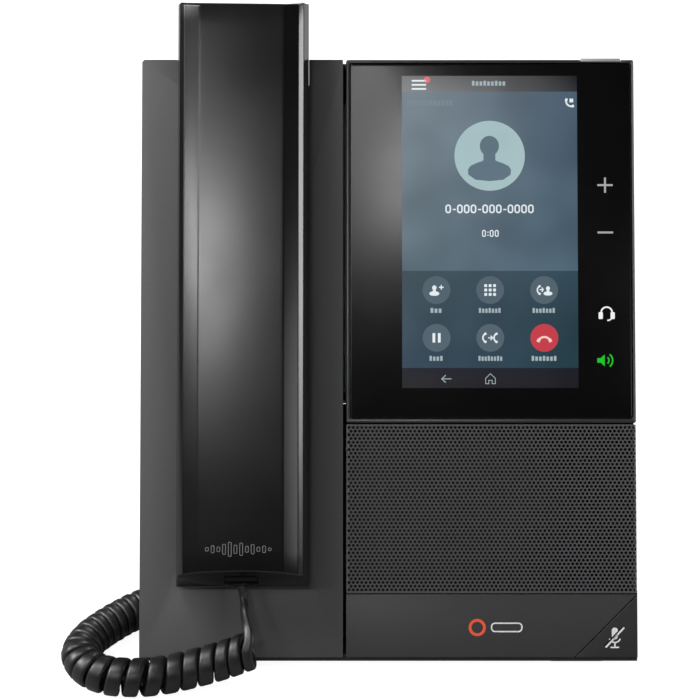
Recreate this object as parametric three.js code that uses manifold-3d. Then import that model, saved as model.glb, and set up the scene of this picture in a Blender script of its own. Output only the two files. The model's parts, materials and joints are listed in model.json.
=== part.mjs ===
// Desk IP phone: a tilted slab with a touch screen, a perforated speaker panel, a corded handset in a
// cradle on the left, a curly cord and a snap-on desk stand.
//
// The slab is modelled in a "head" group that is tilted as a whole. In that group u runs to the right,
// v runs up along the front face and w points out of the front face, which lies at w = 0. The lower
// edge of the face is v = 0. Everything that lies on the desk is modelled in a "desk" group, where
// y = 0 is straight below that lower edge and z = 0 is the desk. All lengths are in millimetres.

import * as THREE from 'three';
import { mergeVertices } from 'three/addons/utils/BufferGeometryUtils.js';
import Module from 'manifold-3d';

const wasm = await Module();
wasm.setup();

// ---------------------------------------------------------------- driving dimensions
const TILT = THREE.MathUtils.degToRad(56); // front face above horizontal
const FACE_Y = -67.1; // lower edge of the front face, puts the origin under the middle of the phone
const FACE_Z = 4.5; // height of that edge above the desk
const HALF_W = 87; // half the width of the slab
const TOP = 210.5; // height of the front face
const EDGE_BACK = -12.5; // back of the slab outside the hump
const SPLIT = -8; // depth where the front covers meet the rear cover
const WALL = 2.2; // moulded wall
const GAP = 0.3; // clearance between neighbouring pieces
const CORNER = 0.8; // corner radius of the slab

const PANEL_RIGHT = -15.9; // right edge of the cradle side
const UNIT_LEFT = -14.8; // left edge of the screen side
const TRIM_TOP = 21.9;
const GRILLE = { v0: 22.4, v1: 81.3, plate: 1.6 };
const SCREEN_V0 = 81.8; // lower edge of the screen frame
const GLASS = { u0: -13.3, u1: 85.8, v0: 83.5, v1: 209.1, thick: 1.8 };
const DISPLAY = { u0: 3.5, u1: 68.3, v0: 92.5, v1: 206.2, thick: 2.5 };
const NOTCH = { u0: -74.3, u1: -27.9, v0: 201.1 }; // cut-out for the head of the handset
const CUP = { u0: -71.5, u1: -30.3, v0: 30, v1: 56, deep: 7.4, wall: 1.6 };

const HUMP = { u: 66, v0: 90, v1: 188, slope: 12, back: -30 }; // thick part of the rear cover
const BOARD = { u: 62, v0: 93, v1: 196, front: -8.5, back: -9.9 };
const UNDERSIDE = 2; // height of the flat underside above the desk
const SPEAKER = { u: 36, v: 52, r: 27, bump: 5 };

const KEY = { thick: 1.2, corner: 65.2, stemU: 79.5, stemV: 8.5 };
const HOOK = { v: 80, half: 3.1 };

const HS = { // handset: centre line, ends, section half widths
  u: -50.9, v0: 24.6, v1: 229.6, back: 1.5, seam: 5.05,
  crown: 24, flat: 14.65, facet: 19.7, edge: 21.5, foot: 23, wall: 1.8,
};
const EAR = { v0: 203.5, v1: 226, half: 17, deep: -9 };
const MIC = { v0: 33, v1: 53, half: 16, deep: -6.2 };

const STAND = { u: 42, v0: 100, v1: 184, plate: 3, footFront: 100, footRear: 136, wall: 3 };
const COIL = { r: 6.8, sides: 10 };
const TAIL_R = 1.5;

// ---------------------------------------------------------------- materials
function plastic(color, roughness) {
  return new THREE.MeshStandardMaterial({ color, roughness, metalness: 0 });
}

function metal(color, roughness) {
  return new THREE.MeshStandardMaterial({ color, roughness, metalness: 1 });
}

const LOOKS = {
  shell: plastic(0x4c4c4e, 0.6),
  rear: plastic(0x303032, 0.7),
  gloss: plastic(0x0b0b0c, 0.25),
  glass: plastic(0x050506, 0.08),
  screen: plastic(0x3f5a68, 0.3),
  grille: plastic(0x2b2b2d, 0.65),
  cloth: plastic(0x101010, 0.95),
  light: plastic(0xb9bcbd, 0.4),
  rubber: plastic(0x151515, 0.85),
  board: plastic(0x1f5a34, 0.55),
  clear: plastic(0xc9cfd2, 0.2),
  steel: metal(0x9a9b9d, 0.4),
  brass: metal(0xb08d45, 0.35),
};

// ---------------------------------------------------------------- geometry helpers
function solidOf(geometry) {
  const bare = geometry.index ? geometry.toNonIndexed() : geometry;
  const open = new THREE.BufferGeometry();
  open.setAttribute('position', bare.getAttribute('position'));
  const merged = mergeVertices(open, 1e-4);
  const corners = [];
  const index = merged.index.array;
  for (let i = 0; i < index.length; i += 3) {
    const [a, b, c] = [index[i], index[i + 1], index[i + 2]];
    if (a !== b && b !== c && c !== a) corners.push(a, b, c);
  }
  const vertProperties = new Float32Array(merged.getAttribute('position').array);
  const triVerts = new Uint32Array(corners);
  return new wasm.Manifold(new wasm.Mesh({ numProp: 3, vertProperties, triVerts }));
}

function geometryOf(solid) {
  const mesh = solid.getMesh();
  const geometry = new THREE.BufferGeometry();
  geometry.setAttribute('position', new THREE.BufferAttribute(mesh.vertProperties, 3));
  geometry.setIndex(new THREE.BufferAttribute(mesh.triVerts, 1));
  geometry.computeVertexNormals();
  return geometry;
}

function join(...solids) {
  return solids.reduce((whole, next) => whole.add(next));
}

function cut(whole, ...tools) {
  return tools.reduce((rest, tool) => rest.subtract(tool), whole);
}

// A block between two corners.
function block([u0, u1], [v0, v1], [w0, w1]) {
  const geometry = new THREE.BoxGeometry(u1 - u0, v1 - v0, w1 - w0);
  geometry.translate((u0 + u1) / 2, (v0 + v1) / 2, (w0 + w1) / 2);
  return solidOf(geometry);
}

// A shape in the face plane, from depth w0 to w1.
function plate(shape, [w0, w1], curveSegments = 4) {
  const options = { depth: w1 - w0, bevelEnabled: false, curveSegments };
  return solidOf(new THREE.ExtrudeGeometry(shape, options).translate(0, 0, w0));
}

function polygon(points) {
  return new THREE.Shape(points.map(([x, y]) => new THREE.Vector2(x, y)));
}

function roundedRect([u0, u1], [v0, v1], r) {
  const shape = new THREE.Shape();
  shape.moveTo(u0 + r, v0).lineTo(u1 - r, v0).absarc(u1 - r, v0 + r, r, -Math.PI / 2, 0);
  shape.lineTo(u1, v1 - r).absarc(u1 - r, v1 - r, r, 0, Math.PI / 2);
  shape.lineTo(u0 + r, v1).absarc(u0 + r, v1 - r, r, Math.PI / 2, Math.PI);
  shape.lineTo(u0, v0 + r).absarc(u0 + r, v0 + r, r, Math.PI, 1.5 * Math.PI);
  return shape;
}

// A side profile of [v, w] points, from u0 to u1. In the desk group the points are [y, z].
function acrossU(points, [u0, u1]) {
  const options = { depth: u1 - u0, bevelEnabled: false };
  const geometry = new THREE.ExtrudeGeometry(polygon(points), options);
  const turn = new THREE.Matrix4().makeBasis(
    new THREE.Vector3(0, 1, 0), new THREE.Vector3(0, 0, 1), new THREE.Vector3(1, 0, 0));
  return solidOf(geometry.applyMatrix4(turn).translate(u0, 0, 0));
}

// A cross-section of [u, w] points, from v0 to v1.
function alongV(points, [v0, v1]) {
  const options = { depth: v1 - v0, bevelEnabled: false };
  const geometry = new THREE.ExtrudeGeometry(polygon(points), options);
  const turn = new THREE.Matrix4().makeBasis(
    new THREE.Vector3(1, 0, 0), new THREE.Vector3(0, 0, 1), new THREE.Vector3(0, -1, 0));
  return solidOf(geometry.applyMatrix4(turn).translate(0, v1, 0));
}

// A round solid about the w axis at (u, v), turned from [radius, w] points.
function turned([u, v], points, sides = 20) {
  const profile = points.map(([r, w]) => new THREE.Vector2(r, w));
  const geometry = new THREE.LatheGeometry(profile, sides);
  return solidOf(geometry.rotateX(Math.PI / 2).translate(u, v, 0));
}

function disc(centre, r, [w0, w1], sides = 20) {
  return turned(centre, [[0, w0], [r, w0], [r, w1], [0, w1]], sides);
}

function ring(centre, [inner, outer], [w0, w1], sides = 20) {
  return turned(centre, [[inner, w0], [outer, w0], [outer, w1], [inner, w1], [inner, w0]], sides);
}

function add(group, name, solid, look) {
  const mesh = new THREE.Mesh(geometryOf(solid), look);
  mesh.name = name;
  group.add(mesh);
}

// The v at depth w where the tilted face group reaches height z above the desk.
function vAtHeight(w, z) {
  return (z - FACE_Z - w * Math.cos(TILT)) / Math.sin(TILT);
}

// A point of the head group as [y, z] of the desk group.
function onDesk(v, w) {
  const y = v * Math.cos(TILT) - w * Math.sin(TILT);
  const z = FACE_Z + v * Math.sin(TILT) + w * Math.cos(TILT);
  return [y, z];
}

// Everything of the head group that lies lower than height z above the desk.
function below(z) {
  const deep = -60;
  const high = 20;
  const points = [[vAtHeight(deep, z), deep], [vAtHeight(high, z), high], [-90, high], [-90, deep]];
  return acrossU(points, [-100, 100]);
}

// ---------------------------------------------------------------- outlines of the slab
// The whole slab with its notch, each wall moved in by inset.
function slabOutline(inset) {
  const [left, right, top] = [-HALF_W + inset, HALF_W - inset, TOP - inset];
  const [n0, n1, nv] = [NOTCH.u0 - inset, NOTCH.u1 + inset, NOTCH.v0 - inset];
  const bottom = -3;
  return polygon([
    [left, bottom], [right, bottom], [right, top - CORNER], [right - CORNER, top],
    [n1, top], [n1, nv], [n0, nv], [n0, top], [left + CORNER, top], [left, top - CORNER],
  ]);
}

// The cradle side only. The floor of the outline is at v = 0 for the skin and lower for a cavity.
function cradleOutline(inset, bottom) {
  const [left, right, top] = [-HALF_W + inset, PANEL_RIGHT - inset, TOP - inset];
  const [n0, n1, nv] = [NOTCH.u0 - inset, NOTCH.u1 + inset, NOTCH.v0 - inset];
  return polygon([
    [left, bottom], [right, bottom], [right, top], [n1, top], [n1, nv], [n0, nv], [n0, top],
    [left + CORNER, top], [left, top - CORNER],
  ]);
}

// ---------------------------------------------------------------- fixings
const SCREWS = {
  cradle: [[-80.5, 16], [-80.5, 110], [-80.5, 194], [-22.5, 62]],
  frame: [[-7, 204], [80, 204], [80, 120]],
  trim: [[-7, 14], [50, 14]],
};
const SCREW = { head: 2.8, shank: 1.3, hole: 1.7, boss: 3.2, tower: 4.6, recess: 3.1 };

function bosses(places, top) {
  const rings = places.map((at) => ring(at, [SCREW.hole, SCREW.boss], [SPLIT, top], 12));
  return rings;
}

function coverScrew(at) {
  const outer = EDGE_BACK + 0.2;
  const points = [
    [0, outer], [SCREW.head, outer], [SCREW.head, outer + 1.5], [SCREW.shank, outer + 1.5],
    [SCREW.shank, -4.6], [0, -4.6],
  ];
  const slot = block([at[0] - 1.8, at[0] + 1.8], [at[1] - 0.35, at[1] + 0.35], [outer - 1, outer + 0.7]);
  return cut(turned(at, points, 12), slot);
}

// ---------------------------------------------------------------- rear cover
const PORTS = [ // centre u, half width, depth range, half width and depth range of the mouth, length
  { name: 'usb_a_socket', u: -50, half: 6.6, w: [-16, -10.3], mouth: [6.1, -15.5, -10.8], long: 14 },
  { name: 'lan_socket', u: -28, half: 7.95, w: [-23.5, -10.3], mouth: [5.95, -21.5, -13.5], long: 16 },
  { name: 'pc_socket', u: -9, half: 7.95, w: [-23.5, -10.3], mouth: [5.95, -21.5, -13.5], long: 16 },
  { name: 'power_socket', u: 9, half: 4.5, w: [-21.3, -10.3], mouth: [3.2, -19, -12.6], long: 13 },
  { name: 'usb_c_socket', u: 22, half: 4.7, w: [-13.9, -10.3], mouth: [4.2, -13.5, -10.7], long: 8 },
  { name: 'handset_socket', u: 38, half: 5.6, w: [-20.9, -10.3], mouth: [4.1, -18.8, -12], long: 13 },
  { name: 'headset_socket', u: 54, half: 5.6, w: [-20.9, -10.3], mouth: [4.1, -18.8, -12], long: 13 },
];
const VENT = { u: 54, rows: 9, pitch: 7, first: 118, half: 6, high: 1.6 };
const SLOT = { u: 28, half: 6, high: 4, rows: [112, 168] };

function rearCover() {
  const skin = cut(
    plate(slabOutline(0), [EDGE_BACK, SPLIT - GAP]),
    plate(slabOutline(WALL), [EDGE_BACK + WALL, SPLIT + 5]),
  );
  const hump = [
    [HUMP.v0, EDGE_BACK + 1], [HUMP.v0, HUMP.back], [HUMP.v1, HUMP.back],
    [HUMP.v1 + HUMP.slope, EDGE_BACK], [HUMP.v1 + HUMP.slope, EDGE_BACK + 1],
  ];
  const inside = [
    [HUMP.v0 + WALL, EDGE_BACK + WALL + 1], [HUMP.v0 + WALL, HUMP.back + WALL],
    [HUMP.v1 - 1, HUMP.back + WALL], [HUMP.v1 + HUMP.slope - 3, EDGE_BACK + WALL + 1],
  ];
  const bumpBack = EDGE_BACK - SPEAKER.bump;
  const bump = turned([SPEAKER.u, SPEAKER.v], [
    [0, bumpBack], [SPEAKER.r, bumpBack], [SPEAKER.r + 3, bumpBack + 3],
    [SPEAKER.r + 3, EDGE_BACK + 1], [0, EDGE_BACK + 1],
  ], 36);
  const bumpInside = disc([SPEAKER.u, SPEAKER.v], SPEAKER.r, [bumpBack + WALL, SPLIT + 5], 36);
  const places = [...SCREWS.cradle, ...SCREWS.frame, ...SCREWS.trim];
  const towers = places.map((at) => disc(at, SCREW.tower, [EDGE_BACK, SPLIT - GAP], 12));
  const holes = places.map((at) => disc(at, SCREW.hole, [EDGE_BACK - 1, SPLIT + 5], 12));
  const recesses = places.map((at) => disc(at, SCREW.recess, [EDGE_BACK - 1, EDGE_BACK + 2], 12));

  let cover = join(skin, acrossU(hump, [-HUMP.u, HUMP.u]), bump);
  cover = cut(cover, acrossU(inside, [-HUMP.u + WALL, HUMP.u - WALL]), bumpInside);
  cover = cut(join(cover, ...towers), ...holes, ...recesses);
  cover = cut(cover, ...portHoles(), ...ventSlots(), ...standSlots());
  return join(cut(cover, below(UNDERSIDE + 1)), bottomRail());
}

// The solid wedge along the lower edge: a flat underside above the desk and a narrow front lip.
function bottomRail() {
  const front = -2.3;
  const low = -1.3;
  const points = [
    [vAtHeight(EDGE_BACK, UNDERSIDE), EDGE_BACK], [vAtHeight(EDGE_BACK, UNDERSIDE + WALL), EDGE_BACK],
    [vAtHeight(front, UNDERSIDE + WALL), front], [low, front], [low, front - 0.2],
  ];
  return acrossU(points, [-HALF_W, HALF_W]);
}

function portHoles() {
  return PORTS.map(({ u, half, w }) => block(
    [u - half - GAP, u + half + GAP], [HUMP.v0 - 1, HUMP.v0 + WALL + 1], [w[0] - GAP, w[1] + GAP]));
}

function ventSlots() {
  const slots = [];
  for (const side of [-1, 1]) {
    for (let row = 0; row < VENT.rows; row += 1) {
      const v = VENT.first + row * VENT.pitch;
      const u = side * VENT.u;
      slots.push(block([u - VENT.half, u + VENT.half], [v, v + VENT.high], [HUMP.back - 1, HUMP.back + 4]));
    }
  }
  return slots;
}

function standSlots() {
  return [-SLOT.u, SLOT.u].flatMap((u) => SLOT.rows.map((v) => block(
    [u - SLOT.half, u + SLOT.half], [v - SLOT.high, v + SLOT.high], [HUMP.back - 1, HUMP.back + 4])));
}

// ---------------------------------------------------------------- front covers
function cradleCover() {
  const skin = plate(cradleOutline(0, 0), [SPLIT, 0]);
  const cavity = plate(cradleOutline(WALL, -5), [SPLIT - 1, -2.4]);
  const cupFloor = -CUP.deep - CUP.wall;
  const tub = block([CUP.u0 - CUP.wall, CUP.u1 + CUP.wall], [CUP.v0 - CUP.wall, CUP.v1 + CUP.wall],
    [cupFloor, -1]);
  const cup = plate(roundedRect([CUP.u0, CUP.u1], [CUP.v0, CUP.v1], 5), [-CUP.deep, 1]);
  const side = HOOK.half + GAP;
  const hookHole = block([HS.u - side, HS.u + side], [HOOK.v - side, HOOK.v + side], [-4, 1]);
  const tabSeat = block([HS.u - 7.1, HS.u + 7.1], [188, 199.2], [-1.2, 1]);
  const lower = cut(below(UNDERSIDE + 2.5), block([-100, 100], [-50, 50], [-2, 30]));
  const cover = cut(skin, cavity, lower);
  return cut(join(cover, tub, ...bosses(SCREWS.cradle, -2)), cup, hookHole, tabSeat);
}

function screenFrame() {
  const outline = roundedRect([UNIT_LEFT, HALF_W], [SCREEN_V0, TOP], CORNER);
  const seat = roundedRect([GLASS.u0 - GAP, GLASS.u1 + GAP], [GLASS.v0 - GAP, GLASS.v1 + GAP], 1.2);
  const window = roundedRect(
    [DISPLAY.u0 - 0.6, DISPLAY.u1 + 0.6], [DISPLAY.v0 - 0.6, DISPLAY.v1 + 0.6], 0.5);
  const seatFloor = -GLASS.thick - GAP;
  const cavity = block([UNIT_LEFT + WALL, HALF_W - WALL], [SCREEN_V0 + WALL, TOP - WALL],
    [SPLIT - 1, seatFloor - 2]);
  const lightSlot = block([LIGHT.u0 - GAP, LIGHT.u1 + GAP], [LIGHT.v0 - GAP, TOP + 1], [-LIGHT.deep, 1]);
  const body = cut(plate(outline, [SPLIT, 0]), cavity);
  const holed = cut(join(body, ...bosses(SCREWS.frame, seatFloor - 1)), plate(seat, [seatFloor, 1]));
  return cut(holed, plate(window, [SPLIT - 1, 1]), lightSlot);
}

const LIGHT = { u0: 68.3, u1: 82.3, v0: 209.8, v1: 211, deep: 5 };

function speakerGrille() {
  const face = block([UNIT_LEFT, HALF_W], [GRILLE.v0, GRILLE.v1], [-GRILLE.plate, 0]);
  const rightWall = block([HALF_W - 1.6, HALF_W], [GRILLE.v0, GRILLE.v1], [SPLIT, -1]);
  const leftWall = block([UNIT_LEFT, UNIT_LEFT + 1.6], [GRILLE.v0, GRILLE.v1], [SPLIT, -1]);
  return join(face, rightWall, leftWall);
}

// The diagonal joint between the lower trim and the corner key, as a u at height v.
function diagonal(v) {
  return KEY.corner + (HALF_W - KEY.corner) * v / TRIM_TOP;
}

function lowerTrim() {
  const shape = polygon([
    [UNIT_LEFT, 0], [KEY.corner - GAP, 0], [diagonal(TRIM_TOP) - GAP, TRIM_TOP], [UNIT_LEFT, TRIM_TOP],
  ]);
  const keySeat = block([58, HALF_W], [2, TRIM_TOP], [-3.4, -2.3]);
  const step = block([58, 64], [4, TRIM_TOP], [-3, -1]);
  const walls = [[UNIT_LEFT, UNIT_LEFT + 1.6], [HALF_W - 1.6, HALF_W]].map(
    (span) => block(span, [0, TRIM_TOP], [SPLIT, span[0] > 0 ? -2.3 : -1]));
  const behind = cut(join(keySeat, step, ...walls), below(UNDERSIDE + 2.5));
  const stemHole = disc([KEY.stemU, KEY.stemV], 2.6, [-5, 0], 12);
  return cut(join(plate(shape, [-2, 0]), behind, ...bosses(SCREWS.trim, -1)), stemHole);
}

function muteKey() {
  const shape = polygon([[KEY.corner, 0], [HALF_W, 0], [HALF_W, TRIM_TOP - 0.2]]);
  return join(plate(shape, [-KEY.thick, 0]), disc([KEY.stemU, KEY.stemV], 2, [-5.9, -1], 12));
}

// ---------------------------------------------------------------- parts inside the slab
function speakerParts(head) {
  const at = [SPEAKER.u, SPEAKER.v];
  const baffle = cut(
    block([-12, 84.2], [24, 79.7], [-4.4, -3.2]),
    disc(at, 22, [-6, 0], 28),
  );
  add(head, 'speaker_cloth', block([-12.5, 84.8], [23.2, 80.5], [-2.6, -2]), LOOKS.cloth);
  add(head, 'speaker_baffle', baffle, LOOKS.rear);
  const basket = turned(at, [
    [21.5, -4.8], [21.5, -5.9], [14.3, -11.2], [6, -11.2], [6, -12.2], [15, -12.2], [23.5, -6],
    [26, -6], [26, -4.8], [21.5, -4.8],
  ], 28);
  const cone = turned(at, [
    [0, -9], [5, -9], [7, -9.4], [20.6, -5.3], [20.6, -4.9], [7, -8.6], [5, -8.2], [0, -8.2],
  ], 28);
  add(head, 'speaker_basket', basket, LOOKS.steel);
  add(head, 'speaker_cone', cone, LOOKS.cloth);
  add(head, 'speaker_magnet', disc(at, 11, [-14.6, -12.5], 24), LOOKS.steel);
}

function hookSwitch(head) {
  const low = [HS.u - HOOK.half, HS.u + HOOK.half];
  const high = [HOOK.v - HOOK.half, HOOK.v + HOOK.half];
  const stem = block(low, high, [-6, 1]);
  const flange = block([low[0] - 1.5, low[1] + 1.5], [high[0] - 1.5, high[1] + 1.5], [-6.2, -5.2]);
  add(head, 'hook_plunger', join(stem, flange), LOOKS.shell);
  const body = block([HS.u - 6, HS.u + 6], [HOOK.v - 4, HOOK.v + 4], [-10, -6.6]);
  add(head, 'hook_switch', body, LOOKS.rear);
}

// A socket: a housing with a mouth at its lower end and, for the flat types, a tongue in the mouth.
function socket({ u, half, w, mouth, long }, tongue) {
  const v0 = HUMP.v0 + GAP;
  const housing = block([u - half, u + half], [v0, v0 + long], w);
  const [reach, w0, w1] = mouth;
  const hollow = block([u - reach, u + reach], [v0 - 1, v0 + long - 2], [w0, w1]);
  const body = cut(housing, hollow);
  if (!tongue) return body;
  const middle = (w0 + w1) / 2;
  const lip = block([u - tongue[0], u + tongue[0]], [v0 + 1, v0 + long - 1],
    [middle - tongue[1], middle + tongue[1]]);
  return join(body, lip);
}

function electronics(head) {
  const { u, v0, v1, front, back } = BOARD;
  add(head, 'main_board', block([-u, u], [v0, v1], [back, front]), LOOKS.board);
  const can = cut(
    block([-18, 24], [128, 162], [back - 3.3, back - GAP]),
    block([-17.5, 23.5], [128.5, 161.5], [back - 2.8, back + 1]),
  );
  add(head, 'shield_can', can, LOOKS.steel);
  const tongues = { usb_a_socket: [5.2, 0.9], usb_c_socket: [3.2, 0.35], power_socket: [0.9, 0.9] };
  for (const port of PORTS) {
    const look = port.name.startsWith('usb') ? LOOKS.steel : LOOKS.gloss;
    add(head, port.name, socket(port, tongues[port.name]), look);
  }
  add(head, 'key_board', block([66, 83.5], [7.4, 19.5], [-9.6, -8.6]), LOOKS.board);
  add(head, 'mute_switch', block(
    [KEY.stemU - 2.5, KEY.stemU + 2.5], [KEY.stemV - 1, KEY.stemV + 4], [-8.3, -6.9]), LOOKS.rear);
  add(head, 'desk_microphone', disc([22, 12], 3, [-5.4, -3.4], 16), LOOKS.rubber);
}

// ---------------------------------------------------------------- handset
// Both casings come from one outer form: a cross-section along v met by a side profile across u.
function handsetForm(inset) {
  const widths = [HS.foot, HS.edge, HS.facet, HS.flat].map((half) => half - inset);
  const heights = [HS.seam - 0.5, HS.crown - 3.1, HS.crown - 1.2, HS.crown].map((w) => w - inset);
  const right = widths.map((half, i) => [HS.u + half, heights[i]]);
  const left = widths.map((half, i) => [HS.u - half, heights[i]]).reverse();
  const back = HS.back + inset;
  const section = [[HS.u - widths[0] + 0.4, back], [HS.u + widths[0] - 0.4, back], ...right, ...left];
  const side = [
    [HS.v0 + 0.6 + inset, back], [HS.v0 + inset, 5], [HS.v0 + 4.8 + inset, 22 - inset],
    [60, 23.3 - inset], [127, HS.crown - inset], [195, 23.3 - inset],
    [HS.v1 - 4.2 - inset, 22 - inset], [HS.v1 - 1.4 - inset, 18 - inset], [HS.v1 - inset, 8],
    [HS.v1 - 0.4 - inset, back],
  ];
  return alongV(section, [HS.v0 - 1, HS.v1 + 1]).intersect(acrossU(side, [HS.u - 30, HS.u + 30]));
}

const JACK = { half: 5.6, v0: 26.9, v1: 40, w0: 7.5, w1: 16.8, mouth: 4.1, mouthW0: 8.7, mouthW1: 15.6 };
const HS_SCREWS = [[HS.u, 64], [HS.u, 188]];

function jackCut() {
  return block([HS.u - JACK.half - GAP, HS.u + JACK.half + GAP], [HS.v0 - 3, JACK.v1 + GAP],
    [JACK.w0 - GAP, JACK.w1 + GAP]);
}

function handsetFront() {
  const upper = block([-90, -10], [0, 240], [HS.seam + GAP / 2, 40]);
  const shell = cut(handsetForm(0).intersect(upper), handsetForm(HS.wall));
  const posts = HS_SCREWS.map((at) => disc(at, 3, [8.3, 22], 12));
  const holes = HS_SCREWS.map((at) => disc(at, 1.6, [8, 15], 12));
  return cut(join(shell, ...posts), ...holes, jackCut());
}

function handsetBack() {
  const lower = block([-90, -10], [0, 240], [-20, HS.seam - GAP / 2]);
  const shell = cut(handsetForm(0).intersect(lower), handsetForm(HS.wall));
  const pad = (boss, inset, [w0, w1]) => plate(roundedRect(
    [HS.u - boss.half + inset, HS.u + boss.half - inset], [boss.v0 + inset, boss.v1 - inset],
    6 - inset), [w0, w1]);
  const ear = pad(EAR, 0, [EAR.deep, HS.back + 1]);
  const mic = pad(MIC, 0, [MIC.deep, HS.back + 1]);
  const earInside = pad(EAR, 1.6, [EAR.deep + 1.6, HS.seam]);
  const micInside = pad(MIC, 1.6, [MIC.deep + 1.6, HS.seam]);
  const posts = HS_SCREWS.map((at) => disc(at, 4.4, [HS.back, 8], 12));
  const holes = HS_SCREWS.map((at) => disc(at, 1.6, [0, 9], 12));
  const recesses = HS_SCREWS.map((at) => disc(at, 2.9, [0, HS.back + 2.1], 12));
  const slots = [-6, -3, 0, 3, 6].map((shift) => block(
    [HS.u - 5, HS.u + 5], [215 + shift, 216 + shift], [EAR.deep - 1, EAR.deep + 3]));
  const micHole = block([HS.u - 3, HS.u + 3], [42.6, 43.6], [MIC.deep - 1, MIC.deep + 3]);
  const hollow = cut(join(shell, ear, mic), earInside, micInside);
  return cut(join(hollow, ...posts), ...holes, ...recesses, ...slots, micHole);
}

function handsetScrew(at) {
  const head = HS.back + 0.2;
  const points = [[0, head], [2.5, head], [2.5, head + 1.5], [1.2, head + 1.5], [1.2, 13], [0, 13]];
  const slot = block([at[0] - 1.6, at[0] + 1.6], [at[1] - 0.35, at[1] + 0.35], [head - 1, head + 0.7]);
  return cut(turned(at, points, 12), slot);
}

function handsetInside(head) {
  const ear = [HS.u, (EAR.v0 + EAR.v1) / 2];
  add(head, 'receiver_gasket', ring(ear, [6.5, 9], [-7.1, -6.4], 20), LOOKS.rubber);
  add(head, 'ear_receiver', disc(ear, 9, [-6.1, -1.5], 24), LOOKS.steel);
  add(head, 'handset_microphone', disc([HS.u, 43], 4.8, [-4.3, -1.6], 16), LOOKS.rubber);
  add(head, 'handset_board', block([HS.u - 9, HS.u + 9], [70, 92], [8, 9.2]), LOOKS.board);
  add(head, 'handset_weight', block([HS.u - 9, HS.u + 9], [98, 152], [6.4, 13]), LOOKS.steel);
  const jack = cut(
    block([HS.u - JACK.half, HS.u + JACK.half], [JACK.v0, JACK.v1], [JACK.w0, JACK.w1]),
    block([HS.u - JACK.mouth, HS.u + JACK.mouth], [JACK.v0 - 1, JACK.v1 - 1.4],
      [JACK.mouthW0, JACK.mouthW1]),
  );
  add(head, 'handset_jack', jack, LOOKS.gloss);
}

// A clear modular plug with its spring clip, its lower end at v0, centred on depth w.
function modularPlug(u, v0, w) {
  const body = block([u - 3.8, u + 3.8], [v0, v0 + 11], [w - 3, w + 1.6]);
  const clip = block([u - 1.6, u + 1.6], [v0 + 1, v0 + 10.5], [w + 2.1, w + 2.9]);
  const root = block([u - 1.6, u + 1.6], [v0 + 9.5, v0 + 10.5], [w + 1, w + 2.5]);
  return join(body, clip, root);
}

// ---------------------------------------------------------------- desk stand and feet
function deskStand() {
  const back = HUMP.back - GAP;
  const outer = back - STAND.plate;
  const [lowY, lowZ] = onDesk(STAND.v0, outer);
  const [highY, highZ] = onDesk(STAND.v1, outer);
  const { u, wall, footFront, footRear } = STAND;
  const leg = [[footFront, UNDERSIDE], [footRear, UNDERSIDE], [highY, highZ], [lowY, lowZ]];
  const skin = [[footRear - wall, UNDERSIDE], [footRear, UNDERSIDE], [highY, highZ], [highY - wall, highZ]];
  const plateSide = [
    onDesk(STAND.v0, outer), onDesk(STAND.v1, outer), onDesk(STAND.v1, back), onDesk(STAND.v0, back)];
  const foot = block([-u, u], [footFront, footRear], [UNDERSIDE, UNDERSIDE + wall]);
  const window = block([-22, 22], [footRear - 20, footRear + 5], [22, 58]);
  const sides = [-1, 1].map((side) => acrossU(leg, [side * (u - wall / 2) - wall / 2,
    side * (u - wall / 2) + wall / 2]));
  const shell = join(acrossU(skin, [-u, u]), acrossU(plateSide, [-u, u]), foot, ...sides);
  return cut(join(shell, ...standHooks(back)), window);
}

// Four hooks that reach through the slots of the rear cover and drop behind its wall.
function standHooks(back) {
  const inner = HUMP.back + WALL + GAP;
  return [-SLOT.u, SLOT.u].flatMap((u) => SLOT.rows.map((v) => {
    const points = [
      onDesk(v - 1.5, back - 1), onDesk(v - 1.5, inner), onDesk(v - SLOT.high - 1.5, inner),
      onDesk(v - SLOT.high - 1.5, inner + 1.5), onDesk(v + 1.5, inner + 1.5), onDesk(v + 1.5, back - 1),
    ];
    return acrossU(points.reverse(), [u - SLOT.half + 1, u + SLOT.half - 1]);
  }));
}

const FEET = { u: 66, y0: 3.6, y1: 13, standY0: 103, standY1: 133, half: 9, high: 1.7 };

function feet(desk) {
  const { u, half, high } = FEET;
  for (const [side, name] of [[-1, 'left'], [1, 'right']]) {
    const front = block([side * u - half, side * u + half], [FEET.y0, FEET.y1], [0, high]);
    const rear = block([side * 32 - 6, side * 32 + 6], [FEET.standY0, FEET.standY1], [0, high]);
    add(desk, `front_foot_${name}`, front, LOOKS.rubber);
    add(desk, `stand_foot_${name}`, rear, LOOKS.rubber);
  }
}

// ---------------------------------------------------------------- curly cord
// Centre line of the coil as [x, y, z] of the desk group, from the handset's end round the bend beside
// the phone to the socket behind it.
const COIL_LINE = [
  [-47.6, -9.9, 15.1], [-51.9, -10.1, 13.2], [-57.1, -10.3, 11.2], [-63.3, -10.8, 9.3], [-69.6, -11.6, 7.9],
  [-75.7, -12.8, 7.1], [-81.8, -14, 6.9], [-88.4, -14.4, 6.9], [-96.4, -13.4, 6.9], [-103.6, -8.9, 6.9],
  [-107.1, -1.7, 6.9], [-104.8, 7, 6.9], [-98.8, 15.3, 6.9], [-88.8, 25, 6.9], [-76, 32.6, 6.9],
  [-60, 38.8, 6.9], [-40, 44.2, 6.9], [-18, 47.2, 6.9], [4, 48.6, 6.9], [24, 49.8, 6.9], [38, 52, 6.9],
];
const COIL_SPLIT = 0.31; // share of the coil's length that moves with the handset
const TAIL_HANDSET = [
  [-46.8, -14.3, 19], [-47, -12.2, 21.2], [-48.4, -7.6, 23.9], [-49.6, -3.2, 26.6], [-50.6, 1.2, 30.4],
  [-50.9, 3.1, 32.9],
];
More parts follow.
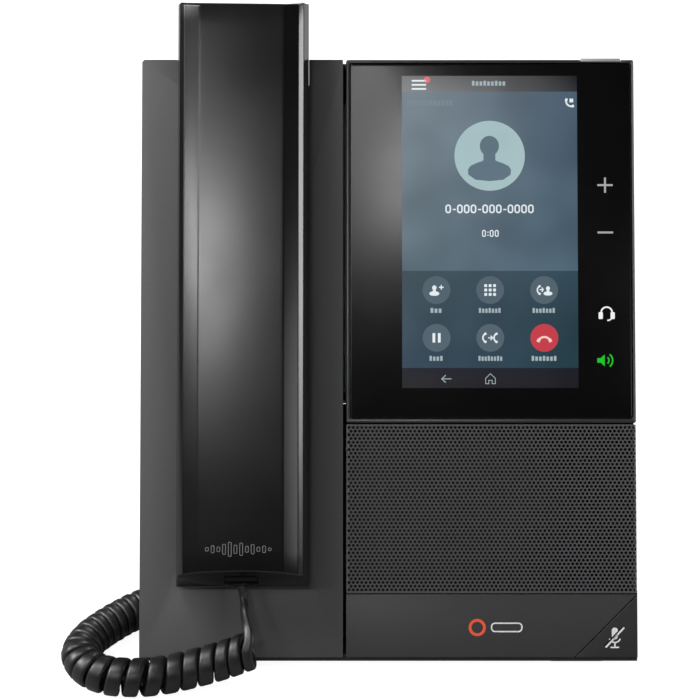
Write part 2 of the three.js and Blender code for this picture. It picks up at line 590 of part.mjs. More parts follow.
const TAIL_BASE = [
  [38.4, 52.1, 6.9], [42, 52.7, 7.2], [47, 53.9, 10], [49.6, 55.2, 17], [49.4, 56.6, 27],
  [45.6, 57.6, 38], [40.4, 58.8, 48], [38, 62, 57.2],
];

function curveThrough(points) {
  return new THREE.CatmullRomCurve3(points.map(([x, y, z]) => new THREE.Vector3(x, y, z)));
}

// The stretch of a curve between two shares of its length.
class Stretch extends THREE.Curve {
  constructor(whole, from, to) {
    super();
    Object.assign(this, { whole, from, to });
  }

  getPoint(t, target) {
    return this.whole.getPointAt(THREE.MathUtils.lerp(this.from, this.to, t), target);
  }
}

function tube(extrudePath, r, sides, steps) {
  const section = new THREE.Shape();
  for (let i = 0; i < sides; i += 1) {
    const angle = (i + 0.5) * 2 * Math.PI / sides;
    const [x, y] = [r * Math.cos(angle), r * Math.sin(angle)];
    if (i === 0) section.moveTo(x, y);
    else section.lineTo(x, y);
  }
  return solidOf(new THREE.ExtrudeGeometry(section, { extrudePath, steps, bevelEnabled: false }));
}

function cord(desk, head) {
  const coil = curveThrough(COIL_LINE);
  const share = GAP / coil.getLength();
  const front = new Stretch(coil, 0, COIL_SPLIT);
  const rear = new Stretch(coil, COIL_SPLIT + share, 1);
  add(desk, 'cord_coil_front', tube(front, COIL.r, COIL.sides, 20), LOOKS.rubber);
  add(desk, 'cord_coil_rear', tube(rear, COIL.r, COIL.sides, 28), LOOKS.rubber);
  add(desk, 'cord_tail_handset', tube(curveThrough(TAIL_HANDSET), TAIL_R, 8, 8), LOOKS.rubber);
  add(desk, 'cord_tail_base', tube(curveThrough(TAIL_BASE), TAIL_R, 8, 16), LOOKS.rubber);
  add(head, 'cord_plug_handset', modularPlug(HS.u, JACK.v0 + 0.2, 12.1), LOOKS.clear);
  add(head, 'cord_plug_base', modularPlug(38, HUMP.v0 - 2, -15.5), LOOKS.clear);
}

// ---------------------------------------------------------------- assembly
function frontPieces(head) {
  add(head, 'cradle_cover', cradleCover(), LOOKS.shell);
  add(head, 'handset_tab', block([HS.u - 6.8, HS.u + 6.8], [188.3, 198.9], [-0.9, 0.8]), LOOKS.shell);
  add(head, 'screen_frame', screenFrame(), LOOKS.shell);
  const glass = roundedRect([GLASS.u0, GLASS.u1], [GLASS.v0, GLASS.v1], 1);
  add(head, 'cover_glass', plate(glass, [-GLASS.thick, 0]), LOOKS.glass);
  const displayBack = -GLASS.thick - GAP - DISPLAY.thick;
  const { u0, u1, v0, v1 } = DISPLAY;
  add(head, 'touch_display', block([u0, u1], [v0, v1], [displayBack, -GLASS.thick - GAP]), LOOKS.screen);
  add(head, 'display_plate', block([u0, u1], [v0, v1], [displayBack - 1.1, displayBack - GAP]), LOOKS.steel);
  const light = block([LIGHT.u0, LIGHT.u1], [LIGHT.v0, LIGHT.v1], [-LIGHT.deep + GAP, 0]);
  add(head, 'message_light', light, LOOKS.light);
  add(head, 'speaker_grille', speakerGrille(), LOOKS.grille);
  add(head, 'lower_trim', lowerTrim(), LOOKS.shell);
  add(head, 'mute_key', muteKey(), LOOKS.shell);
}

function phone() {
  const whole = new THREE.Group();
  const desk = new THREE.Group();
  desk.position.set(0, FACE_Y, 0);
  const head = new THREE.Group();
  head.position.set(0, FACE_Y, FACE_Z);
  head.rotation.x = TILT;
  whole.add(desk, head);

  add(head, 'rear_cover', rearCover(), LOOKS.rear);
  frontPieces(head);
  speakerParts(head);
  hookSwitch(head);
  electronics(head);
  const places = [...SCREWS.cradle, ...SCREWS.frame, ...SCREWS.trim];
  places.forEach((at, i) => add(head, `cover_screw_${i + 1}`, coverScrew(at), LOOKS.steel));
  add(head, 'handset_front', handsetFront(), LOOKS.gloss);
  add(head, 'handset_back', handsetBack(), LOOKS.gloss);
  handsetInside(head);
  HS_SCREWS.forEach((at, i) => add(head, `handset_screw_${i + 1}`, handsetScrew(at), LOOKS.steel));
  add(desk, 'desk_stand', deskStand(), LOOKS.rear);
  feet(desk);
  cord(desk, head);
  return whole;
}

export default phone();
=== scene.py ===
# Looks of the desk phone: detailed pieces, materials, light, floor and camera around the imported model.
import json
import math

import bmesh
import bpy
import numpy as np
from mathutils import Matrix, Vector


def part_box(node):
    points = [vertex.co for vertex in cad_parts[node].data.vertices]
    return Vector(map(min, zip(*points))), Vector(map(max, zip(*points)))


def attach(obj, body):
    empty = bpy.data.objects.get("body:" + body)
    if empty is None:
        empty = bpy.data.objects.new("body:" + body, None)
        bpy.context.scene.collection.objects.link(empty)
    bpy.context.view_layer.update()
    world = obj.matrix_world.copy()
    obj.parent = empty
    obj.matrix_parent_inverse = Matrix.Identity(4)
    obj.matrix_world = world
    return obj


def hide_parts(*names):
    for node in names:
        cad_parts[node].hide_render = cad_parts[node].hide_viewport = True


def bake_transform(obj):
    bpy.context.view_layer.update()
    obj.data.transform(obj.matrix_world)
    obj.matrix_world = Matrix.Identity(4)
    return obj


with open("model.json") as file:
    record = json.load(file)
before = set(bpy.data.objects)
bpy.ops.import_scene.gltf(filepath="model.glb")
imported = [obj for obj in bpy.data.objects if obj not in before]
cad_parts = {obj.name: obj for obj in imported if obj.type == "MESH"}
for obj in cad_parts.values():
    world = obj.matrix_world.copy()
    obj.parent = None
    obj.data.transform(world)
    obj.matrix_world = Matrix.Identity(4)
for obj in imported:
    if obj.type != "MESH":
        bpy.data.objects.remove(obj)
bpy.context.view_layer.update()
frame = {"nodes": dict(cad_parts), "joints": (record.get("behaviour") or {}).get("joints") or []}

MM = 0.001

# ---- frame of the tilted face
# u runs to the right, v up along the face and w out of it. Pieces on the face are written in millimetres
# of (u, v, w) and their objects are turned by HEAD.
OUT = Vector(next(j for j in frame["joints"] if j["name"] == "handset_lift")["axis"]).normalized()
UP = Vector((0, OUT.z, -OUT.y))
TOP_V = 210.5
_low, _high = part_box("cradle_cover")
ORIGIN = Vector((0, _low.y, _high.z - TOP_V * MM * UP.z))
HEAD = Matrix((
    (1, 0, 0, 0),
    (0, UP.y, OUT.y, ORIGIN.y),
    (0, UP.z, OUT.z, ORIGIN.z),
    (0, 0, 0, 1),
))
DESK = Matrix.Translation((0, ORIGIN.y, 0))
HS_U = sum(c.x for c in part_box("handset_front")) / 2 / MM  # middle line of the handset


def on_desk(u, v, w):
    """A point of the face frame as x, y, z millimetres of the desk frame."""
    return (DESK.inverted() @ HEAD @ (Vector((u, v, w)) * MM)) / MM


# ---- node materials
def new_material(name):
    material = bpy.data.materials.new(name)
    material.use_nodes = True
    tree = material.node_tree
    return material, tree, tree.nodes["Principled BSDF"]


def feed(node, inputs):
    """Sets the node's inputs, each to a value or to another node's output."""
    for key, value in inputs.items():
        if isinstance(value, bpy.types.NodeSocket):
            node.id_data.links.new(value, node.inputs[key])
        else:
            node.inputs[key].default_value = value


def add_node(tree, kind, inputs=(), **settings):
    node = tree.nodes.new(kind)
    for key, value in settings.items():
        setattr(node, key, value)
    feed(node, dict(inputs))
    return node


def noise_of(tree, coords, size_mm, detail=3.0, roughness=0.55):
    inputs = {"Vector": coords, "Scale": 1 / (size_mm * MM), "Detail": detail, "Roughness": roughness}
    return add_node(tree, "ShaderNodeTexNoise", inputs).outputs["Fac"]


def coords_of(tree, kind="Object"):
    return add_node(tree, "ShaderNodeTexCoord").outputs[kind]


def mixed(tree, factor, low, high, blend="MIX"):
    """A mix of two colours, each given as a value or as a node's output."""
    inputs = {0: factor, 6: low, 7: high}
    return add_node(tree, "ShaderNodeMix", inputs, data_type="RGBA", blend_type=blend).outputs[2]


def mapped(tree, value, low, high, start=0.3, end=0.7):
    inputs = {"Value": value, "From Min": start, "From Max": end, "To Min": low, "To Max": high}
    return add_node(tree, "ShaderNodeMapRange", inputs).outputs["Result"]


def relief(tree, strength, depth_mm, height):
    inputs = {"Strength": strength, "Distance": depth_mm * MM, "Height": height}
    return add_node(tree, "ShaderNodeBump", inputs).outputs["Normal"]


def rgba(color, scale=1.0):
    return (*(c * scale for c in color), 1.0)


def plastic(name, color, rough, grain, bump, blotch=25.0, spread=0.07, spec=0.5):
    """Moulded plastic: a fine spark-eroded grain in the bump, and slow variation of colour and roughness."""
    material, tree, shader = new_material(name)
    coords = coords_of(tree)
    slow = noise_of(tree, coords, blotch, 4.0)
    fine = noise_of(tree, coords, grain, 2.0)
    tint = mixed(tree, slow, rgba(color, 1 - spread), rgba(color, 1 + spread))
    shade = mapped(tree, fine, 1 - spread, 1 + spread)
    feed(shader, {
        "Base Color": mixed(tree, 1.0, tint, shade, "MULTIPLY"),
        "Roughness": mapped(tree, slow, rough - 0.03, rough + 0.03, 0.15, 0.85),
        "Normal": relief(tree, bump, 0.05, fine),
        "Specular IOR Level": spec,
    })
    return material


def metal(name, color, rough):
    """Rolled or plated metal: fine streaks in the roughness."""
    material, tree, shader = new_material(name)
    streaks = add_node(tree, "ShaderNodeMapping", {"Vector": coords_of(tree), "Scale": (1, 0.06, 1)})
    lines = noise_of(tree, streaks.outputs["Vector"], 0.4, 3.0)
    gloss = mapped(tree, lines, rough - 0.08, rough + 0.08)
    feed(shader, {"Base Color": rgba(color), "Metallic": 1.0, "Roughness": gloss})
    return material


def glossy_black(name):
    """Printed cover glass, black, with faint smudges in its soft gloss."""
    material, tree, shader = new_material(name)
    smudge = noise_of(tree, coords_of(tree), 30, 4.0, 0.6)
    black = (0.0016, 0.0016, 0.0018, 1)
    gloss = mapped(tree, smudge, 0.19, 0.23)
    feed(shader, {"Base Color": black, "Roughness": gloss, "Specular IOR Level": 0.4})
    return material


def light_up(shader, color, strength=1.0):
    """Makes the shader that of a lit part of the display, in the colour of a node's output."""
    feed(shader, {"Base Color": (0.002, 0.002, 0.002, 1), "Roughness": 0.12, "Emission Strength": strength,
                  "Emission Color": color})


def lit(name, color, strength=1.0):
    """A lit part of the display, or a lit key, in one colour."""
    material, tree, shader = new_material(name)
    glow = mapped(tree, noise_of(tree, coords_of(tree), 18, 2.0), 0.96, 1.04)
    light_up(shader, mixed(tree, 1.0, rgba(color), glow, "MULTIPLY"), strength)
    return material


def srgb(hex_code):
    """A colour given as 0xRRGGBB, in linear light."""
    values = [(hex_code >> shift & 255) / 255 for shift in (16, 8, 0)]
    return tuple(c / 12.92 if c <= 0.04045 else ((c + 0.055) / 1.055) ** 2.4 for c in values)


def woven(name, color):
    """Acoustic cloth: crossed waves."""
    material, tree, shader = new_material(name)
    coords = coords_of(tree)
    waves = [
        add_node(tree, "ShaderNodeTexWave", {"Vector": coords, "Scale": 320.0, "Distortion": 0.6},
                 bands_direction=direction).outputs["Fac"]
        for direction in ("X", "Y")
    ]
    cross = add_node(tree, "ShaderNodeMath", operation="MULTIPLY")
    for socket, wave in zip(cross.inputs, waves):
        tree.links.new(wave, socket)
    weave = cross.outputs[0]
    tint = mixed(tree, weave, rgba(color, 0.5), rgba(color, 1.6))
    bumps = relief(tree, 0.6, 0.1, weave)
    feed(shader, {"Base Color": tint, "Normal": bumps, "Roughness": 0.95, "Sheen Weight": 0.3})
    return material


def clear(name, color, rough, transmission):
    """Clear or milky plastic."""
    material, tree, shader = new_material(name)
    haze = noise_of(tree, coords_of(tree), 4, 3.0)
    gloss = mapped(tree, haze, rough - 0.03, rough + 0.05)
    feed(shader, {"Base Color": rgba(color), "Roughness": gloss, "Transmission Weight": transmission})
    return material


LOOKS = {
    "face": plastic("face_plastic", srgb(0x484849), 0.52, grain=0.42, bump=0.3, spread=0.09),
    "rim": plastic("rim_plastic", srgb(0x2c2c2d), 0.3, grain=0.3, bump=0.1),
    # the trim and the key are the face plastic made darker: painted shade of the phone's lower end, which
    # gets less light
    "trim": plastic("trim_painted_shade", srgb(0x343435), 0.5, grain=0.42, bump=0.3, spread=0.09),
    "key": plastic("key_painted_shade", srgb(0x232324), 0.5, grain=0.42, bump=0.3),
    "rear": plastic("rear_plastic", srgb(0x2c2c2e), 0.6, grain=0.5, bump=0.35),
    "handset": plastic("handset_plastic", srgb(0x0c0c0d), 0.21, grain=0.3, bump=0.06),
    "under": plastic("handset_under", srgb(0x151516), 0.42, grain=0.35, bump=0.2),
    "grille": plastic("grille_paint", srgb(0x4c4c4e), 0.42, grain=0.3, bump=0.15),
    "socket": plastic("socket_plastic", srgb(0x18181a), 0.5, grain=0.4, bump=0.1),
    "rubber": plastic("foot_rubber", srgb(0x1a1a1b), 0.85, grain=0.6, bump=0.4, spec=0.3),
    "cord": plastic("cord_rubber", srgb(0x131314), 0.42, grain=0.5, bump=0.12),
    "light": clear("light_pipe", srgb(0xadaeaf), 0.4, 0.2),
    "plug": clear("plug_clear", (0.85, 0.88, 0.9), 0.1, 0.8),
    "glass": glossy_black("cover_glass_black"),
    "cloth": woven("acoustic_cloth", (0.012, 0.012, 0.012)),
    "cone": plastic("cone_paper", srgb(0x202020), 0.9, grain=0.8, bump=0.5),
    "board": plastic("solder_resist", srgb(0x1d5a36), 0.35, grain=1.5, bump=0.1, blotch=6),
    "steel": metal("plated_steel", srgb(0xa8a9ab), 0.32),
    "display": lit("display_off", srgb(0x101418), 0.1),
    "print": plastic("legend_print", srgb(0xf2f2f3), 0.45, grain=0.3, bump=0.05),
    "jack": plastic("jack_plastic", srgb(0x0a0a0b), 0.7, grain=0.4, bump=0.1, spec=0.2),
    "mark": plastic("raised_mark", srgb(0x77787a), 0.4, grain=0.3, bump=0.05),
    "accent": plastic("accent_print", srgb(0xff5c38), 0.4, grain=0.3, bump=0.05),
}


# ---- pieces
def piece(name, mesh, look, slot, body="base", place=HEAD, smooth=32.0, replaces=(), ride=True):
    """Makes an object of a mesh that is in metres of the frame 'place', with one material. Its own frame is
    the model's, so that its box is no larger than it is."""
    bm = bmesh.new()
    bm.from_mesh(mesh)
    bm.transform(place)
    bmesh.ops.recalc_face_normals(bm, faces=bm.faces)
    bm.to_mesh(mesh)
    bm.free()
    mesh.shade_smooth()
    mesh.set_sharp_from_angle(angle=math.radians(smooth))
    mesh.materials.clear()
    mesh.materials.append(LOOKS[look] if isinstance(look, str) else look)
    item = bpy.data.objects.new(name, mesh)
    bpy.context.scene.collection.objects.link(item)
    if ride:
        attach(item, body)
    if replaces:
        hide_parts(*replaces)
    return item


def mesh_of(name, verts, faces):
    mesh = bpy.data.meshes.new(name)
    mesh.from_pydata([Vector(v) * MM for v in verts], [], faces)
    return mesh


def applied(item):
    """Replaces the object's mesh by what its modifiers make of it."""
    bpy.context.view_layer.update()
    graph = bpy.context.evaluated_depsgraph_get()
    mesh = bpy.data.meshes.new_from_object(item.evaluated_get(graph))
    item.modifiers.clear()
    item.data = mesh


class Shape:
    """Collects closed solids for one mesh."""

    def __init__(self):
        self.verts, self.faces = [], []

    def rings(self, rings):
        """Skins rings of the same number of points, and caps the first and the last."""
        start, count = len(self.verts), len(rings[0])
        for ring in rings:
            self.verts.extend(tuple(p) for p in ring)
        for k in range(len(rings) - 1):
            a, b = start + k * count, start + (k + 1) * count
            for i in range(count):
                j = (i + 1) % count
                self.faces.append((a + i, a + j, b + j, b + i))
        last = start + (len(rings) - 1) * count
        self.faces.append(tuple(range(start, start + count))[::-1])
        self.faces.append(tuple(range(last, last + count)))
        return self

    def prism(self, outline, w0, w1, edge=0.0, steps=3, back_edge=0.0):
        """An outline in (u, v) from depth w0 to w1, with rounded front and back edges."""
        levels = []
        if back_edge:
            for k in range(steps):
                turn = k / steps * math.pi / 2
                levels.append((back_edge * (1 - math.sin(turn)), w0 + back_edge * (1 - math.cos(turn))))
            levels.append((0, w0 + back_edge))
        else:
            levels.append((0, w0))
        if edge:
            for k in range(steps + 1):
                turn = k / steps * math.pi / 2
                levels.append((edge * (1 - math.cos(turn)), w1 - edge + edge * math.sin(turn)))
        else:
            levels.append((0, w1))
        return self.rings([[(x, y, w) for x, y in inset(outline, d)] for d, w in levels])

    def loop(self, path, width, w0, w1):
        """A closed line of that width, from depth w0 to w1."""
        start, count = len(self.verts), len(path)
        for x, y, a, b in ((*p, *q) for p, q in zip(inset(path, -width / 2), inset(path, width / 2))):
            self.verts.extend([(x, y, w0), (x, y, w1), (a, b, w1), (a, b, w0)])
        for i in range(count):
            one, two = start + 4 * i, start + 4 * ((i + 1) % count)
            self.faces.extend((one + k, two + k, two + (k + 1) % 4, one + (k + 1) % 4) for k in range(4))
        return self

    def piece(self, name, look, slot, **options):
        return piece(name, mesh_of(name, self.verts, self.faces), look, slot, **options)


def inset(outline, d):
    """The outline, counterclockwise, moved in by d."""
    if not d:
        return list(outline)
    result = []
    for i, (x, y) in enumerate(outline):
        (ax, ay), (bx, by) = outline[i - 1], outline[(i + 1) % len(outline)]
        la, lb = math.hypot(x - ax, y - ay), math.hypot(bx - x, by - y)
        na, nb = (-(y - ay) / la, (x - ax) / la), (-(by - y) / lb, (bx - x) / lb)
        scale = d / (1 + na[0] * nb[0] + na[1] * nb[1])
        result.append((x + (na[0] + nb[0]) * scale, y + (na[1] + nb[1]) * scale))
    return result


def rounded(points, radii, steps=4):
    """A counterclockwise outline with round corners. radii is one number or one for each point."""
    radii = radii if hasattr(radii, "__len__") else [radii] * len(points)
    result = []
    for i, (x, y) in enumerate(points):
        r = radii[i]
        if not r:
            result.append((x, y))
            continue
        corner = Vector((x, y))
        back = (Vector(points[i - 1]) - corner).normalized()
        on = (Vector(points[(i + 1) % len(points)]) - corner).normalized()
        half = back.angle(on) / 2
        reach = r / math.tan(half)
        centre = corner + (back + on).normalized() * (r / math.sin(half))
        a, b = corner + back * reach - centre, corner + on * reach - centre
        sweep = a.angle_signed(b)
        for k in range(steps + 1):
            turned = Matrix.Rotation(-sweep * k / steps, 2) @ a
            result.append(tuple(centre + turned))
    return result


def rect(u0, u1, v0, v1, r=0.0, steps=4):
    return rounded([(u0, v0), (u1, v0), (u1, v1), (u0, v1)], r, steps)


def circle(u, v, r, sides=32):
    return [(u + r * math.cos(2 * math.pi * i / sides), v + r * math.sin(2 * math.pi * i / sides))
            for i in range(sides)]


def stroke(points, width):
    """The outline of a line of that width with square ends, counterclockwise."""
    line = [Vector(p) for p in points]
    left, right = [], []
    for i, p in enumerate(line):
        before = (p - line[i - 1]).normalized() if i else (line[1] - p).normalized()
        after = (line[i + 1] - p).normalized() if i < len(line) - 1 else before
        tangent = (before + after).normalized()
        normal = Vector((-tangent.y, tangent.x)) * (width / 2 / max(0.35, tangent.dot(before)))
        left.append(tuple(p + normal))
        right.append(tuple(p - normal))
    return right + left[::-1]


def arc(u, v, r, start, end, steps=12):
    angles = [math.radians(start + (end - start) * k / steps) for k in range(steps + 1)]
    return [(u + r * math.cos(a), v + r * math.sin(a)) for a in angles]


# ---- refined copies of CAD nodes
SLOPE_U, SLOPE = 86.22, 0.7  # where the sloping right edge starts, and how steep it is


def refined(node, look, slot, edges, body="base", smooth=32.0, slope=False):
    """A copy of a CAD node whose sharp edges are rounded. edges is a list of (radius, test, segments), and
    test says of an edge's two ends in millimetres of the face frame whether it takes that radius. With
    slope, the front falls away along the phone's right edge."""
    mesh = frame["nodes"][node].data.copy()
    mesh.transform(HEAD.inverted())
    bm = bmesh.new()
    bm.from_mesh(mesh)
    bmesh.ops.remove_doubles(bm, verts=bm.verts, dist=0.002 * MM)
    bmesh.ops.dissolve_limit(bm, angle_limit=math.radians(0.6), verts=bm.verts, edges=bm.edges)
    if slope:
        bmesh.ops.bisect_plane(bm, geom=[*bm.verts, *bm.edges, *bm.faces], dist=0.001 * MM,
                               plane_co=(SLOPE_U * MM, 0, 0), plane_no=(1, 0, 0))
        for vert in bm.verts:
            if vert.co.z > -0.05 * MM and vert.co.x > SLOPE_U * MM:
                vert.co.z -= SLOPE * (vert.co.x - SLOPE_U * MM)
    for radius, test, segments in edges:
        sharp = [
            e for e in bm.edges
            if len(e.link_faces) == 2 and e.calc_face_angle(0) > math.radians(28)
            and test(*(vert.co / MM for vert in e.verts))
        ]
        bmesh.ops.bevel(
            bm, geom=sharp, offset=radius * MM, offset_type="OFFSET", segments=segments, profile=0.5,
            affect="EDGES", clamp_overlap=True, harden_normals=False, loop_slide=True)
    bmesh.ops.dissolve_degenerate(bm, dist=0.002 * MM, edges=bm.edges)
    for attribute in ("custom_normal", "sharp_face"):
        if attribute in mesh.attributes:
            mesh.attributes.remove(mesh.attributes[attribute])
    bm.to_mesh(mesh)
    bm.free()
    return piece(node + "_moulded", mesh, look, slot, body=body, smooth=smooth, replaces=[node])


# ---- curly cord
COIL_R = 5.5  # middle of the flat cord's thickness
BAND = (2.5, 5.4)  # thickness and width of the flat cord
COIL_LINE = [
    (-47.6, -9.9, 15.1), (-51.9, -10.1, 13.2), (-57.1, -10.3, 11.2), (-63.3, -10.8, 9.3), (-69.6, -11.6, 7.9),
    (-75.7, -12.8, 7.1), (-81.8, -14, 6.9), (-88.4, -14.4, 6.9), (-96.4, -13.4, 6.9), (-103.6, -8.9, 6.9),
    (-107.1, -1.7, 6.9), (-104.8, 7, 6.9), (-98.8, 15.3, 6.9), (-88.8, 25, 6.9), (-76, 32.6, 6.9),
    (-60, 38.8, 6.9), (-40, 44.2, 6.9), (-18, 47.2, 6.9), (4, 48.6, 6.9), (24, 49.8, 6.9), (38, 52, 6.9),
]
COIL_SPLIT = 0.31  # share of the coil's length that goes to the handset's piece of cord
PITCH = [  # turn spacing at a distance along the coil
    (0, 4.4), (6, 5.0), (12, 5.8), (18, 6.1), (28, 6.3), (36, 7.0), (42, 6.2), (52, 5.4), (60, 4.3),
    (90, 3.8), (120, 4.6), (210, 5.4),
]
LINE_STEP = 0.12  # spacing of the samples along the coil's middle line
TURN_SAMPLES = 28  # samples of the wound line in each turn
LEAN, LEAN_REACH = 1.2, 30  # how upright the hanging end's turns stand, and how far along the coil
ROOM_SHARE = 0.95  # the most that the band takes up of the spacing between two turns
SLIM, WIDENING = 3.6, 20  # width of the handset's tail, and in how many samples the band widens from it
EXIT_HANDSET = (-50.9, 25.2, 12.1)
EXIT_BASE = (38, 87.6, -15.5)
TAIL_HANDSET = [(-47.9, -12.0, 20.9), (-48.5, -7.6, 23.2), (-49.6, -3.2, 26.2)]
TAIL_BASE = [
    (42, 52.7, 7.2), (47, 53.9, 10), (49.6, 55.2, 17), (49.4, 56.6, 27), (45.6, 57.6, 38), (40.4, 58.8, 48),
]


def spline(points, per_span=24):
    """A centripetal Catmull-Rom curve through the points."""
    p = np.array(points, float)
    p = np.vstack([2 * p[0] - p[1], p, 2 * p[-1] - p[-2]])
    result = []
    for i in range(1, len(p) - 2):
        a, b, c, d = p[i - 1:i + 3]
        t0, t1, t2 = (max(np.linalg.norm(y - x), 1e-9) ** 0.5 for x, y in ((a, b), (b, c), (c, d)))
        m1 = ((b - a) / t0 - (c - a) / (t0 + t1) + (c - b) / t1) * t1
        m2 = ((c - b) / t1 - (d - b) / (t1 + t2) + (d - c) / t2) * t1
        for k in range(per_span):
            t = k / per_span
            result.append(
                (2 * t**3 - 3 * t**2 + 1) * b + (t**3 - 2 * t**2 + t) * m1
                + (-2 * t**3 + 3 * t**2) * c + (t**3 - t**2) * m2)
    result.append(p[-2])
    return np.array(result)


def evenly(line, step):
    along = np.concatenate([[0], np.cumsum(np.linalg.norm(np.diff(line, axis=0), axis=1))])
    count = max(2, int(round(along[-1] / step)) + 1)
    at = np.linspace(0, along[-1], count)
    return np.stack([np.interp(at, along, line[:, k]) for k in range(3)], 1), at


def unit(v):
    return v / np.linalg.norm(v, axis=-1, keepdims=True)


def across(v, t):
    """v without its part along t, at unit length."""
    return unit(v - np.sum(v * t, axis=-1, keepdims=True) * t)


def wound_coil():
    """The wound line in desk millimetres, and at each of its points the direction out of the coil, the room
    along the coil's axis and the share of the coil's length."""
    line, at = evenly(spline(COIL_LINE), LINE_STEP)
    tangent = unit(np.gradient(line, axis=0))
    bend = np.gradient(tangent, at, axis=0)
    normal = np.empty_like(line)
    normal[0] = across(np.array([0, -0.82, 0.57]), tangent[0])
    for i in range(1, len(line)):
        normal[i] = across(normal[i - 1], tangent[i])
    side = np.cross(tangent, normal)
    pitch = np.interp(at, *zip(*PITCH))
    pitch = pitch * (1 + 0.05 * np.sin(at * 0.9) * np.sin(at * 0.31 + 1))
    turn = -2 * math.pi * np.concatenate([[0], np.cumsum(np.diff(at) / pitch[1:])])
    radial = np.cos(turn)[:, None] * normal + np.sin(turn)[:, None] * side
    slack = 1 - COIL_R * np.sum(bend * radial, axis=1)
    lean = LEAN * np.exp(-((at / LEAN_REACH) ** 2)) * (radial @ np.array(UP))
    path = line + COIL_R * radial - lean[:, None] * tangent
    step = 2 * math.pi / TURN_SAMPLES
    keep = [0]
    for i in range(len(turn)):
        if turn[keep[-1]] - turn[i] >= step:
            keep.append(i)
    return path[keep], radial[keep], (pitch * slack)[keep], at[keep] / at[-1]


def band_mesh(name, path, wide, width):
    """A flat cord along the path. wide is the direction of its width at each point."""
    tangent = unit(np.gradient(path, axis=0))
    wide = across(wide, tangent)
    flat = np.cross(tangent, wide)
    rings = []
    for p, a, b, w in zip(path, wide, flat, width):
        half, thick = w / 2, BAND[0] / 2
        soft = min(1.15, half * 0.8)
        section = rounded([(-half, -thick), (half, -thick), (half, thick), (-half, thick)], soft, 3)
        rings.append([p + a * x + b * y for x, y in section])
    shape = Shape().rings(rings)
    return mesh_of(name, shape.verts, shape.faces)


def curly_cord():
    path, radial, room, share = wound_coil()
    tangent = unit(np.gradient(path, axis=0))
    wide = np.cross(tangent, radial)
    width = np.minimum(BAND[1], ROOM_SHARE * room)
    cut = int(np.searchsorted(share, COIL_SPLIT))

    start = np.array(on_desk(*EXIT_HANDSET))
    leave = np.array(DESK.inverted().to_3x3() @ HEAD.to_3x3() @ Vector((0.9, -5, 0)))
    tail = spline([start, start + leave, *TAIL_HANDSET[::-1], *path[:3]], 8)[:-16]
    blend = np.linspace(0, 1, len(tail))[:, None]
    blend = blend**2 * (3 - 2 * blend)
    out = np.array(OUT) * (1 if np.dot(np.array(OUT), wide[0]) > 0 else -1)
    tail_wide = (1 - blend) * out + blend * wide[0]
    front = np.vstack([tail, path[:cut + 1]])
    front_wide = np.vstack([tail_wide, wide[:cut + 1]])
    ramp = SLIM + (BAND[1] - SLIM) * np.clip(np.arange(cut + 1) / WIDENING, 0, 1)
    front_width = np.concatenate([np.full(len(tail), SLIM), np.minimum(width[:cut + 1], ramp)])

    end = np.array(on_desk(*EXIT_BASE))
    into = np.array(DESK.inverted().to_3x3() @ HEAD.to_3x3() @ Vector((0, 9, 0)))
    lead = spline([*path[-4:], *TAIL_BASE, end - into * 0.5, end], 10)[30:]
    blend = np.linspace(0, 1, len(lead))[:, None]
    out = np.array((1, 0, 0)) * (1 if wide[-1][0] > 0 else -1)
    rear = np.vstack([path[cut:-1], lead])
    rear_wide = np.vstack([wide[cut:-1], (1 - blend) * wide[-1] + blend * out])
    rear_width = np.concatenate([width[cut:-1], BAND[1] - 0.5 * blend[:, 0]])

    near, far = (
        piece(name, band_mesh(name, *band), "cord", "cord_rubber", place=DESK, smooth=50, ride=ride)
        for name, band, ride in (
            ("handset_cord", (front, front_wide, front_width), False),
            ("base_cord", (rear, rear_wide, rear_width), True),
        ))
    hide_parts("cord_coil_front", "cord_tail_handset")
    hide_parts("cord_coil_rear", "cord_tail_base")
    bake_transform(near)


curly_cord()


# ---- camera, floor and light
LENS = 131.68
CAMERA_X, CAMERA_BACK, CAMERA_Z = -0.01341, 0.71736, 0.54699  # metres, back from the face frame's origin
CAMERA_WAY = (0, 0.86384, -0.50377)
FLOOR_SEEN, FLOOR_LIT = 0.93, 0.02  # the floor's glow to the camera and to all else
WORLD_SEEN, WORLD_LIT = 1.0, 0.03  # the same of the surroundings
AWAY, CLOSE = 1.6, 0.8  # how far the lights stand from the phone, in metres
LIGHTS = (  # name, azimuth, elevation, width and height, power, distance
    ("key_light", -40, 35, (0.3, 0.15), 2.6, AWAY),
    ("upper_key_light", -28, 41, (0.3, 0.15), 1.1, AWAY),
    ("front_light", -11, 41, (0.16, 0.16), 1.5, AWAY),
    ("high_front_light", -20, 47, (0.14, 0.14), 0.7, AWAY),
    ("low_front_light", -11, 37, (0.14, 0.14), 0.8, AWAY),
    ("left_high_light", -75, 60, (0.3, 0.3), 3.6, CLOSE),
    ("left_low_light", -75, 22, (0.3, 0.3), 1.0, CLOSE),
    ("left_rear_light", -100, 30, (0.4, 0.4), 22, AWAY),
    ("right_light", 98, 7, (0.6, 0.6), 11, AWAY),
    ("right_front_light", 35, 26, (0.4, 0.4), 1.8, AWAY),
    ("rear_light", 165, 35, (0.6, 0.6), 9, AWAY),
)


def camera():
    data = bpy.data.cameras.new("camera")
    data.lens = LENS
    data.sensor_width = 36
    data.clip_start = 0.05
    item = bpy.data.objects.new("camera", data)
    bpy.context.scene.collection.objects.link(item)
    item.location = (CAMERA_X, ORIGIN.y - CAMERA_BACK, CAMERA_Z)
    item.rotation_euler = Vector(CAMERA_WAY).to_track_quat("-Z", "Y").to_euler()
    bpy.context.scene.camera = item


